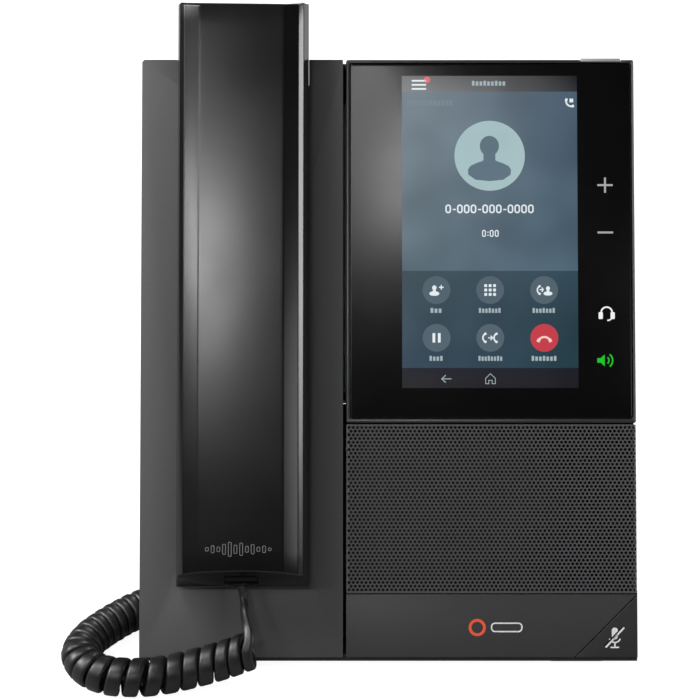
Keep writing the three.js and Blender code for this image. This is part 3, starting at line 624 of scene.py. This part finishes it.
def soft_box(name, azimuth, elevation, size, power, away):
    """An area light that faces the phone. azimuth runs from the front towards +x, in degrees."""
    data = bpy.data.lights.new(name, "AREA")
    data.shape = "RECTANGLE"
    data.size, data.size_y = size
    data.energy = power
    item = bpy.data.objects.new(name, data)
    bpy.context.scene.collection.objects.link(item)
    turn, rise = math.radians(azimuth), math.radians(elevation)
    way = Vector((math.sin(turn) * math.cos(rise), -math.cos(turn) * math.cos(rise), math.sin(rise)))
    item.location = Vector((0, 0, 0.12)) + way * away
    item.rotation_euler = (-way).to_track_quat("-Z", "Y").to_euler()


def camera_only(tree, seen, other):
    """A brightness that is 'seen' to the camera and 'other' to the light bouncing about the studio."""
    rays = add_node(tree, "ShaderNodeLightPath")
    return mapped(tree, rays.outputs["Is Camera Ray"], other, seen, 0, 1)


def studio():
    reach = 1500
    shape = Shape().prism(rect(-reach, reach, -reach, reach), -20, 0)
    material, tree, shader = new_material("studio_floor")
    speck = noise_of(tree, coords_of(tree), 40, 2.0)
    feed(shader, {
        "Base Color": (0.3, 0.3, 0.3, 1), "Roughness": mapped(tree, speck, 0.85, 0.95),
        "Emission Color": (1, 1, 1, 1), "Emission Strength": camera_only(tree, FLOOR_SEEN, FLOOR_LIT),
    })
    floor = bpy.data.objects.new("floor", mesh_of("floor", shape.verts, shape.faces))
    floor.data.materials.append(material)
    bpy.context.scene.collection.objects.link(floor)

    world = bpy.data.worlds.new("studio")
    bpy.context.scene.world = world
    world.use_nodes = True
    tree = world.node_tree
    glow = camera_only(tree, WORLD_SEEN, WORLD_LIT)
    feed(tree.nodes["Background"], {"Color": (1, 1, 1, 1), "Strength": glow})
    bpy.context.scene.view_settings.view_transform = "Standard"
    for light in LIGHTS:
        soft_box(*light)


camera()
studio()


# ---- handset
CROWN, BULGE = 24.0, 0.35  # height of the back, and how much its middle stands above its sides
SAG, MIDDLE_V, HALF_SPAN = 2.0, 127.5, 98  # how much lower the ends are, and where the middle is
LOW_V, HIGH_V = 28, 226  # ends of the run along which the section changes
RINGS, ROUND_OVER, ROUND_STEPS = 28, 0.6, 5
FACET_U, EDGE_U, SIDE_U, FOOT_U = 14.65, 19.7, 21.5, 23.0  # half widths of the section from the crown down
SEAM = 5.05


def crown_drop(v):
    """How much lower the handset's back is at v than at the middle."""
    return SAG * ((v - MIDDLE_V) / HALF_SPAN) ** 2


def crown_height(x, v):
    return CROWN - crown_drop(v) + BULGE * (1 - (x / FACET_U) ** 2)


def handset_section(shrink, drop, foot):
    """Cross-section of the upper casing, counterclockwise, as (x, w)."""
    top = CROWN - drop - shrink
    corners = [
        (-FOOT_U + shrink, foot), (FOOT_U - shrink, foot),
        (SIDE_U - shrink, top - 3.1), (EDGE_U - shrink, top - 1.2), (FACET_U - shrink / 2, top),
        (0, top + BULGE), (-FACET_U + shrink / 2, top), (-EDGE_U + shrink, top - 1.2),
        (-SIDE_U + shrink, top - 3.1),
    ]
    return rounded(corners, [0.25, 0.25, 0.9, 0.9, 4, 560, 4, 0.9, 0.9], 4)


def lower_end(x, w):
    return 24.6 + (w - 4) * 4.8 / 18 + 0.9 * (1 - (x / 20) ** 2) * (w - 4) / 18


def upper_end(x, w):
    return 229.3 - 0.0135 * max(0, w - 6) ** 2


def handset_casing():
    turns = [k / ROUND_STEPS * math.pi / 2 for k in range(ROUND_STEPS + 1)]
    stations = [(ROUND_OVER * (1 - math.cos(turn)), ROUND_OVER * (1 - math.sin(turn)), 0) for turn in turns]
    body = [(0, 0, k / RINGS) for k in range(1, RINGS)]
    ends = [(-d, shrink, 1) for d, shrink, _ in reversed(stations)]
    rings = []
    for shift, shrink, share in stations + body + ends:
        middle = LOW_V + share * (HIGH_V - LOW_V)
        ring = []
        for x, w in handset_section(shrink, crown_drop(middle), SEAM + 0.15):
            low, high = lower_end(x, w), upper_end(x, w)
            if share in (0, 1):
                v = (high if share else low) + shift
            else:
                v = low + ROUND_OVER + share * (high - low - 2 * ROUND_OVER)
            ring.append((HS_U + x, v, w))
        rings.append(ring)
    casing = Shape().rings(rings).piece(
        "handset_casing", "handset", "handset_plastic", body="handset", smooth=40, replaces=["handset_front"])
    hole = Shape().prism(rect(HS_U - 5.9, HS_U + 5.9, 20, 40.3, 0.6), 7.2, 17.1)
    cutter = bpy.data.objects.new("cutter", mesh_of("cutter", hole.verts, hole.faces))
    bpy.context.scene.collection.objects.link(cutter)
    cutter.matrix_world = HEAD
    cut = casing.modifiers.new("jack", "BOOLEAN")
    cut.operation, cut.solver, cut.object = "DIFFERENCE", "EXACT", cutter
    applied(casing)
    bpy.data.objects.remove(cutter)
    casing.data.set_sharp_from_angle(angle=math.radians(40))


def voice_mark():
    """A plain row of level bars, raised a little from the handset's back."""
    shape = Shape()
    levels = [1.2, 2.4, 1.6, 3.4, 4.8, 2.8, 4.2, 2.0, 3.2, 1.4, 2.2, 0.9]
    v, spacing = 37.9, 1.95
    for k, level in enumerate(levels):
        x = -11.3 + k * spacing
        w = crown_height(x, v)
        bar = rect(HS_U + x - 0.5, HS_U + x + 0.5, v - level / 2, v + level / 2, 0.3, 3)
        shape.loop(bar, 0.2, w - 0.2, w + 0.05)
    shape.piece("handset_mark", "mark", "handset_plastic", body="handset")


def handset():
    handset_casing()
    voice_mark()
    rim = lambda a, b: min(a.z, b.z) < 1.7 and abs(a.x - HS_U) > 17 or min(a.z, b.z) < -5
    corner = lambda a, b: abs(a.z - b.z) > 2.5 and abs(a.x - HS_U) > 20 and abs(b.x - HS_U) > 20
    refined("handset_back", "under", "handset_plastic", [(1.2, corner, 4), (0.6, rim, 3)], body="handset")


# ---- display and key legends
SCREEN_U, SCREEN_V, SCREEN_W, SCREEN_H = 4.93, 204.71, 61.93, 110.61
CALL_Y, BUTTONS_Y, NAV_Y = 5.64, 69.3, 103.56  # upper ends of the display's areas, down from its top
BUTTON_X, BUTTON_Y, BUTTON_R = (12.1, 30.99, 50.0), (76.08, 92.96), 4.9
LABEL_Y, LABEL_H = (83.4, 100.3), 1.5


def on_screen(points):
    """Millimetres from the display's upper left corner, down the display, as a counterclockwise outline."""
    return [(SCREEN_U + x, SCREEN_V - y) for x, y in reversed(points)]


def screen_rect(x0, x1, y0, y1, r=0.0):
    return on_screen(rect(x0, x1, y0, y1, r))


def lettering(x0, x1, y, height, count, gap=0.32):
    """Blocks in place of small lettering."""
    step = (x1 - x0) / count
    return [screen_rect(x0 + k * step, x0 + (k + 1 - gap) * step, y - height / 2 * (1.3 if k % 3 == 0 else 1),
                        y + height / 2, 0.1) for k in range(count)]


def flat(name, outlines, look, level, slot="display", loops=(), lines=()):
    """Thin printed or lit shapes on the glass. level sets which lies on which."""
    shape = Shape()
    low, high = 0.03 * level - 0.08, 0.03 * level + 0.03
    for outline in outlines:
        shape.prism(outline, low, high)
    for path, width in loops:
        shape.loop(path, width, low, high)
    for points, width in lines:
        shape.prism(stroke(points, width), low, high)
    return shape.piece(name, look, slot)


def lit_with_painted_reflection(name, corners):
    """A lit area whose colour blends between its corners: low left, low right, top left, top right. The
    corner colours are the display's own colours plus a painted reflection of the studio light on the glass,
    lighter towards the left and the upper left.
    """
    material, tree, shader = new_material(name)
    axes = add_node(tree, "ShaderNodeSeparateXYZ", {"Vector": coords_of(tree, "Generated")})
    low, high = (mixed(tree, axes.outputs["X"], rgba(srgb(left)), rgba(srgb(right)))
                 for left, right in (corners[:2], corners[2:]))
    cloud = mapped(tree, noise_of(tree, coords_of(tree), 22, 1.0), 0.86, 1.14)
    blend = mixed(tree, axes.outputs["Y"], low, high)
    light_up(shader, mixed(tree, 1.0, blend, cloud, "MULTIPLY"))
    return material


def person(x, y, size):
    """Head and shoulders of a plain figure, as screen outlines. size is the height."""
    head = [(x + 0.21 * size * math.cos(a), y - 0.27 * size + 0.225 * size * math.sin(a))
            for a in (math.radians(k * 15) for k in range(24))]
    neck = rect(x - 0.13 * size, x + 0.13 * size, y - 0.15 * size, y + 0.14 * size)
    half = [(0, 0.5), (0.3, 0.47), (0.46, 0.36), (0.47, 0.25), (0.42, 0.17), (0.3, 0.11), (0.16, 0.06),
            (0.1, 0.02)]
    outline = [(-a, b) for a, b in reversed(half)] + half[1:]
    body = [(x + a * size, y + b * size) for a, b in reversed(outline)]
    return [on_screen(head), on_screen(neck), on_screen(body)]


def receiver_icon(x, y, size, turn):
    """A small receiver: a bowed handle with two thick ends."""
    centre = Vector((x, y))

    def at(angle, radius):
        a = math.radians(angle + turn)
        return tuple(centre + Vector((math.cos(a), math.sin(a))) * radius * size)
    handle = [at(k * 10 - 60, 0.5) for k in range(13)]
    ends = [[at(side * 62, 0.38), at(side * 62, 0.62)] for side in (-1, 1)]
    return [(handle, 0.16 * size)] + [(end, 0.26 * size) for end in ends]


def on_screen_lines(lines):
    return [([(SCREEN_U + x, SCREEN_V - y) for x, y in points], width) for points, width in lines]


def display():
    # the corner colours below hold a painted reflection of the studio light on the glass, lighter to the left
    for name, look, y0, y1, corners in (
        ("screen_status_bar", "lit_status", 0, CALL_Y, [0x8a8c8d, 0x2a2c30, 0x7a7c7d, 0x1a1b1e]),
        ("screen_call_area", "lit_call", CALL_Y, BUTTONS_Y, [0x5d6f79, 0x4a6070, 0x7e8b94, 0x46596a]),
        ("screen_button_area", "lit_buttons", BUTTONS_Y, NAV_Y, [0x3b4c5c, 0x213d46, 0x45565f, 0x2f4552]),
        ("screen_nav_bar", "lit_nav", NAV_Y, SCREEN_H, [0x2b2b2e, 0x1c1c20, 0x2a2a33, 0x1d1d29]),
    ):
        flat(name, [screen_rect(0, SCREEN_W, y0, y1)], lit_with_painted_reflection(look, corners), 0)
    flat("screen_avatar", [on_screen(circle(30.99, 28.48, 12.44, 64))],
         lit("lit_avatar", srgb(0xa6bfc2)), 1)
    flat("screen_person", person(30.9, 29.4, 16.2), lit("lit_person", srgb(0x5f7480)), 2)
    centres = [(x, y) for y in BUTTON_Y for x in BUTTON_X]
    discs = [on_screen(circle(x, y, BUTTON_R, 40)) for x, y in centres]
    flat("screen_buttons", discs[:5], lit("lit_button", srgb(0x53646f)), 1)
    flat("screen_end_button", discs[5:], lit("lit_end_button", srgb(0xc53f4b)), 1)
    flat("screen_alert", [on_screen(circle(8.92, 1.4, 1.15, 20))], lit("lit_alert", srgb(0xe4707a)), 2)

    white = lit("lit_white", srgb(0xe6eef2))
    soft = lit("lit_soft", srgb(0xa3b1b9))
    dim = lit("lit_dim", srgb(0x788791))
    shapes = [screen_rect(3.49, 8.58, y - 0.3, y + 0.3) for y in (1.75, 3.2, 4.65)]
    x = 15.3
    loops = []
    for sign in "0-000-000-0000":
        if sign == "-":
            shapes.append(screen_rect(x + 0.2, x + 1.3, 47.35, 47.8))
            x += 1.72
        else:
            loops.append((screen_rect(x + 0.25, x + 1.75, 46.05, 48.65, 0.7), 0.5))
            x += 2.4
    for x in (28.4, 31.1, 32.9):
        loops.append((screen_rect(x, x + 1.0, 55.0, 57.1, 0.45), 0.35))
    shapes += [screen_rect(30.1, 30.5, y - 0.2, y + 0.2) for y in (55.6, 56.7)]
    for row in range(3):
        for column in range(3):
            cx, cy = centres[1][0] + (column - 1) * 1.55, centres[1][1] + (row - 1) * 1.55
            shapes.append(screen_rect(cx - 0.5, cx + 0.5, cy - 0.5, cy + 0.5, 0.2))
    add_x, add_y = centres[0]
    shapes += person(add_x - 0.75, add_y + 0.2, 3.7)
    shapes += person(centres[2][0] + 1.35, centres[2][1] + 0.3, 3.3)
    for side in (-0.95, 0.95):
        cx, cy = centres[3]
        shapes.append(screen_rect(cx + side - 0.47, cx + side + 0.47, cy - 1.65, cy + 1.65, 0.15))
    lines = [
        ([(add_x + 0.9, add_y - 0.95), (add_x + 2.5, add_y - 0.95)], 0.42),
        ([(add_x + 1.7, add_y - 1.75), (add_x + 1.7, add_y - 0.15)], 0.42),
    ]
    for cx, cy, reach in ((centres[2][0] - 0.95, centres[2][1] - 0.1, 0.65), (*centres[4], 0.8)):
        lines.append(([(cx - reach, cy), (cx + reach * 0.8, cy)], 0.35))
        lines.append(([(cx + 0.1, cy - 0.75), (cx + reach, cy), (cx + 0.1, cy + 0.75)], 0.38))
    lines += receiver_icon(centres[2][0] - 0.9, centres[2][1], 3.0, 180)
    lines += receiver_icon(centres[4][0] - 1.0, centres[4][1], 3.2, 180)
    lines += receiver_icon(centres[4][0] + 2.9, centres[4][1], 3.2, 180)
    lines += receiver_icon(58.9 + 1.0, 10.06 - 1.0, 3.6, 135)
    lines.append(([(59.3, 8.8), (60.6, 8.8)], 1.3))
    flat("screen_icons", shapes, white, 2, loops=loops, lines=on_screen_lines(lines))
    end = receiver_icon(centres[5][0], centres[5][1] + 2.0, 4.6, 270)
    flat("screen_end_icon", [], lit("lit_pale", srgb(0xf6cfc9)), 2, lines=on_screen_lines(end))
    small = lettering(24.8, 37.0, 2.75, LABEL_H, 9)
    labels = (
        ((10.0, 14.3, 3), (27.0, 35.0, 7), (45.9, 54.1, 7)),
        ((9.6, 14.6, 4), (26.8, 35.5, 8), (45.5, 54.6, 7)),
    )
    for y, row in zip(LABEL_Y, labels):
        for x0, x1, count in row:
            small += lettering(x0, x1, y, LABEL_H, count)
    arrow = [([(13.9, 107.4), (17.3, 107.4)], 0.3), ([(15.3, 106.1), (13.9, 107.4), (15.3, 108.7)], 0.32)]
    home = [(29.3, 109.1), (29.3, 107.2), (31.0, 105.6), (32.7, 107.2), (32.7, 109.1), (31.6, 109.1),
            (31.6, 107.9), (30.4, 107.9), (30.4, 109.1)]
    flat("screen_small_text", small, soft, 2)
    flat("screen_navigation", [], soft, 2, loops=[(on_screen(home[::-1]), 0.24)],
         lines=on_screen_lines(arrow))
    flat("screen_dim_text", lettering(1.7, 18.2, 9.7, 1.8, 12), dim, 1)


def key_legends():
    grey = lit("lit_key_grey", srgb(0xa9a9a9))
    u, plus_v, minus_v, arm, width = 76.6, 165.8, 149.0, 2.7, 0.68
    signs = [
        ([(u - arm, plus_v), (u + arm, plus_v)], width), ([(u, plus_v - arm), (u, plus_v + arm)], width),
        ([(u - 2.75, minus_v), (u + 2.75, minus_v)], width),
    ]
    flat("volume_legends", [], grey, 0, slot="glass_black", lines=signs)
    u, v = 76.9, 120.3
    cups = [rect(u - 2.85, u - 1.35, v - 1.9, v + 0.5, 0.3), rect(u + 1.35, u + 2.85, v - 1.9, v + 0.5, 0.3)]
    band = [(arc(u, v + 0.35, 1.95, 190, -10, 16), 0.55), (arc(u + 0.2, v - 0.4, 2.0, -22, -90, 8), 0.5)]
    white = lit("lit_key_white", srgb(0xeeeeee))
    flat("headset_legend", cups, white, 0, slot="glass_black", lines=band)
    u, v = 75.0, 103.8
    horn = [(u - 1.5, v - 0.8), (u - 0.3, v - 0.8), (u + 1.1, v - 2.1), (u + 1.1, v + 2.1),
            (u - 0.3, v + 0.8), (u - 1.5, v + 0.8)]
    waves = [(arc(u + 1.2, v, 1.4, -50, 50, 8), 0.5), (arc(u + 1.2, v, 2.7, -52, 52, 10), 0.55)]
    green = lit("lit_key_green", srgb(0x22b92c), 1.1)
    flat("speaker_legend", [horn], green, 0, slot="glass_black", lines=waves)


# ---- front covers
GLASS = (-13.3, 85.8, 83.5, 209.1)


def front_covers():
    """The front's CAD nodes with their edges rounded. The tests pick edges by where they lie on the face."""
    front = lambda a, b: a.z > -0.05 and b.z > -0.05
    outer = lambda a, b: front(a, b) and all(
        p.y < 1 or p.y > 200.5 or p.x < -86.5 or p.x > -16.5 for p in (a, b))
    corner = lambda a, b: abs(a.z - b.z) > 4 and all(
        (p.y > 208 or 200 < p.y < 202) and (p.x < -26 or p.x > -17) for p in (a, b))
    cup = lambda a, b: front(a, b) and 29 < a.y < 57 and 29 < b.y < 57 and -72 < a.x < -30
    small = lambda a, b: front(a, b) and -60 < a.x < -42 and a.y > 70
    refined("cradle_cover", "face", "face_plastic",
            [(0.3, corner, 3), (0.4, outer, 3), (0.8, cup, 3), (0.2, small, 2)])
    tab = lambda a, b: a.z > 0.7 and b.z > 0.7
    refined("handset_tab", "face", "face_plastic", [(0.4, tab, 3)])
    rim = lambda a, b: front(a, b) and all(
        p.x < -14.5 or p.x > 86.5 or p.y < 82.3 or p.y > 210 for p in (a, b))
    refined("screen_frame", "rim", "face_plastic", [(0.45, rim, 3), (0.12, front, 2)], slope=True)
    # the trim and the mute key take the darker looks, painted shade of the lower end
    refined("lower_trim", "trim", "face_plastic", [(0.35, front, 3)], slope=True)
    refined("mute_key", "key", "face_plastic", [(0.22, front, 3)], body="mute_key", slope=True)
    Shape().prism(rect(-14.4, 87.1, 21.2, 23.2), -3.2, -1.6).piece("trim_seam", "under", "face_plastic")
    refined("hook_plunger", "under", "face_plastic", [(0.4, lambda a, b: a.z > 0.5 and b.z > 0.5, 3)],
            body="hook_plunger")
    refined("message_light", "light", "light_pipe", [(0.2, lambda a, b: True, 2)])
    Shape().prism(rect(*GLASS, 1.0, 5), -1.8, 0, edge=0.3, steps=3, back_edge=0.1).piece(
        "cover_glass_polished", "glass", "glass_black", replaces=["cover_glass"])


def mute_legend():
    u, v = 79.0, 6.9
    shape = Shape()
    low, high = -0.1, 0.04
    capsule = rect(u - 1.05, u + 1.05, v - 0.6, v + 3.5, 1.04, 5)
    shape.prism(capsule, low, high)
    for points, width in (
        (arc(u, v + 0.3, 2.0, 200, 340, 12), 0.5), ([(u, v - 1.7), (u, v - 3.2)], 0.5),
        ([(u - 1.5, v - 3.4), (u + 1.5, v - 3.4)], 0.5), ([(u - 3.2, v - 3.4), (u + 3.3, v + 3.5)], 0.62),
    ):
        shape.prism(stroke(points, width), low, high)
    shape.piece("mute_legend", "print", "face_plastic", body="mute_key")
    gap = Shape().prism(stroke([(u - 3.6, v - 3.0), (u + 2.9, v + 3.9)], 0.5), low, high + 0.02)
    gap.piece("mute_legend_gap", "jack", "face_plastic", body="mute_key")


def name_badge():
    """A plain ring and a blank bar."""
    ring, plate = Shape(), Shape()
    ring.loop(circle(31.0, 10.4, 2.5, 36), 1.0, -0.1, 0.04)
    plate.loop(rect(36.0, 46.6, 9.0, 11.9, 1.2, 4), 0.5, -0.1, 0.04)
    ring.piece("badge_ring", "accent", "face_plastic")
    plate.piece("badge_bar", "print", "face_plastic")


# ---- speaker grille
GRILLE_V = (22.4, 81.3)
HOLE_PITCH, ROW_PITCH, HOLE_R = 1.49, 1.29, 0.56
GRILLE_THICK, GRILLE_BEND = 0.7, 1.5
HOLE_SIDES = 8


def grille():
    """A perforated sheet folded back at its left and right edges. Holes stand in offset rows."""
    left, right = -14.8, 87.0
    depth = 7.4
    turns = [0.4, GRILLE_BEND]  # bend radii
    spans = [depth - turns[0], turns[0] * math.pi / 2, right - left - sum(turns), turns[1] * math.pi / 2,
             depth - turns[1]]
    marks = np.concatenate([[0], np.cumsum(spans)])

    def fold(s, n):
        """The point at distance s along the sheet's outline and n below its outer surface, as (u, w)."""
        if s < marks[1]:
            return left + n, -turns[0] - (marks[1] - s)
        if s < marks[2]:
            a = (s - marks[1]) / turns[0]
            r = turns[0] - n if turns[0] > n else 0.02
            return left + turns[0] - r * math.cos(a), -turns[0] + r * math.sin(a)
        if s < marks[3]:
            return left + turns[0] + s - marks[2], -n
        if s < marks[4]:
            a = (s - marks[3]) / turns[1]
            return right - turns[1] + (turns[1] - n) * math.sin(a), -turns[1] + (turns[1] - n) * math.cos(a)
        return right - n, -turns[1] - (s - marks[4])

    rows = int((GRILLE_V[1] - GRILLE_V[0] - 0.4) / ROW_PITCH)
    base = (GRILLE_V[0] + GRILLE_V[1] - rows * ROW_PITCH) / 2
    first = marks[2] - 0.1
    columns = int((marks[5] - first - 0.6) / HOLE_PITCH)
    verts, faces, index = [], [], {}

    def vertex(s, v, n):
        key = (round(s, 4), round(v, 4), n > 0)
        if key not in index:
            u, w = fold(s, n)
            index[key] = len(verts)
            verts.append((u, v, w))
        return index[key]

    def both(ring):
        """Adds a flat patch to the outer and the inner surface. ring is a list of (s, v)."""
        faces.append([vertex(s, v, 0) for s, v in ring])
        faces.append([vertex(s, v, GRILLE_THICK) for s, v in reversed(ring)])

    def through(a, b):
        """A face through the sheet, along the line from a to b."""
        return [vertex(*a, 0), vertex(*b, 0), vertex(*b, GRILLE_THICK), vertex(*a, GRILLE_THICK)]

    edges = [base + k * ROW_PITCH for k in range(rows + 1)]
    half = HOLE_PITCH / 2
    angles = [2 * math.pi * (k + 0.5) / HOLE_SIDES for k in range(HOLE_SIDES)]
    for row in range(rows):
        low, high = edges[row], edges[row + 1]
        middle = (low + high) / 2
        shift = half if row % 2 else 0
        count = columns - (1 if row % 2 else 0)
        for column in range(count):
            centre = first + half + shift + column * HOLE_PITCH
            hole = [(centre + HOLE_R * math.cos(a), middle + HOLE_R * math.sin(a)) for a in angles]
            rim = [(centre + half, low), (centre + half, high), (centre, high), (centre - half, high),
                   (centre - half, low), (centre, low)]
            ring_angles = [math.atan2(v - middle, s - centre) % (2 * math.pi) for s, v in rim]
            order = sorted(range(6), key=lambda i: ring_angles[i])
            outer = [rim[i] for i in order]
            outer_angles = [ring_angles[i] for i in order]
            i = j = 0
            while i < len(outer) or j < HOLE_SIDES:
                next_outer = outer_angles[i] if i < len(outer) else math.inf
                next_hole = angles[j] if j < HOLE_SIDES else math.inf
                a, b = outer[(i - 1) % len(outer)], hole[(j - 1) % HOLE_SIDES]
                if next_outer <= next_hole:
                    both([b, a, outer[i]])
                    i += 1
                else:
                    both([b, a, hole[j]])
                    j += 1
            for k in range(HOLE_SIDES):
                faces.append(through(hole[k], hole[(k + 1) % HOLE_SIDES]))
        if row % 2:
            last = first + columns * HOLE_PITCH
            for s0, s1 in ((first, first + half), (first + (columns - 0.5) * HOLE_PITCH, last)):
                both([(s0, low), (s1, low), (s1, high), (s0, high)])
    # plain margins below and above the rows, then the folded edge at the left and the far edge at the right
    grid = [first + k * half for k in range(2 * columns + 1)]
    heights = [GRILLE_V[0], *edges, GRILLE_V[1]]
    for v0, v1 in ((heights[0], heights[1]), (heights[-2], heights[-1])):
        for s0, s1 in zip(grid, grid[1:]):
            both([(s0, v0), (s1, v0), (s1, v1), (s0, v1)])
    lead = [0, marks[1], marks[1] + spans[1] / 2, first]
    trail = [grid[-1], marks[5]]
    for stations in (lead, trail):
        for s0, s1 in zip(stations, stations[1:]):
            for v0, v1 in zip(heights, heights[1:]):
                both([(s0, v0), (s1, v0), (s1, v1), (s0, v1)])
    stations = lead[:-1] + grid + trail[1:]
    for s0, s1 in zip(stations, stations[1:]):
        for v, way in ((heights[0], 1), (heights[-1], -1)):
            faces.append(through((s0, v), (s1, v))[::way])
    for v0, v1 in zip(heights, heights[1:]):
        for s, way in ((0, -1), (marks[5], 1)):
            faces.append(through((s, v0), (s, v1))[::way])
    piece("speaker_mesh", mesh_of("speaker_mesh", verts, faces), "grille", "grille", smooth=30,
          replaces=["speaker_grille"])


# ---- back, stand and inner pieces
def back_and_stand():
    everything = lambda a, b: (a - b).length > 2.5
    refined("rear_cover", "rear", "rear_plastic", [(0.5, lambda a, b: (a - b).length > 8, 2)])
    refined("desk_stand", "rear", "rear_plastic", [(0.9, lambda a, b: (a - b).length > 12, 3)])
    for node in ("front_foot_left", "front_foot_right", "stand_foot_left", "stand_foot_right"):
        refined(node, "rubber", "rubber", [(0.35, everything, 2)])


handset()
display()
key_legends()
front_covers()
mute_legend()
name_badge()
grille()
back_and_stand()

NODE_LOOKS = {
    "rear": ["speaker_baffle", "hook_switch", "mute_switch"],
    "display": ["touch_display"],
    "cloth": ["speaker_cloth"],
    "cone": ["speaker_cone"],
    "socket": ["lan_socket", "pc_socket", "power_socket", "handset_socket", "headset_socket"],
    "jack": ["handset_jack"],
    "steel": ["display_plate", "speaker_basket", "speaker_magnet", "shield_can", "usb_a_socket",
              "usb_c_socket", "ear_receiver", "handset_weight", "handset_screw_1", "handset_screw_2",
              *(f"cover_screw_{k}" for k in range(1, 10))],
    "board": ["main_board", "key_board", "handset_board"],
    "rubber": ["desk_microphone", "receiver_gasket", "handset_microphone"],
    "plug": ["cord_plug_handset", "cord_plug_base"],
}
for look, nodes in NODE_LOOKS.items():
    for node in nodes:
        item = frame["nodes"][node]
        item.data.materials.clear()
        item.data.materials.append(LOOKS[look])
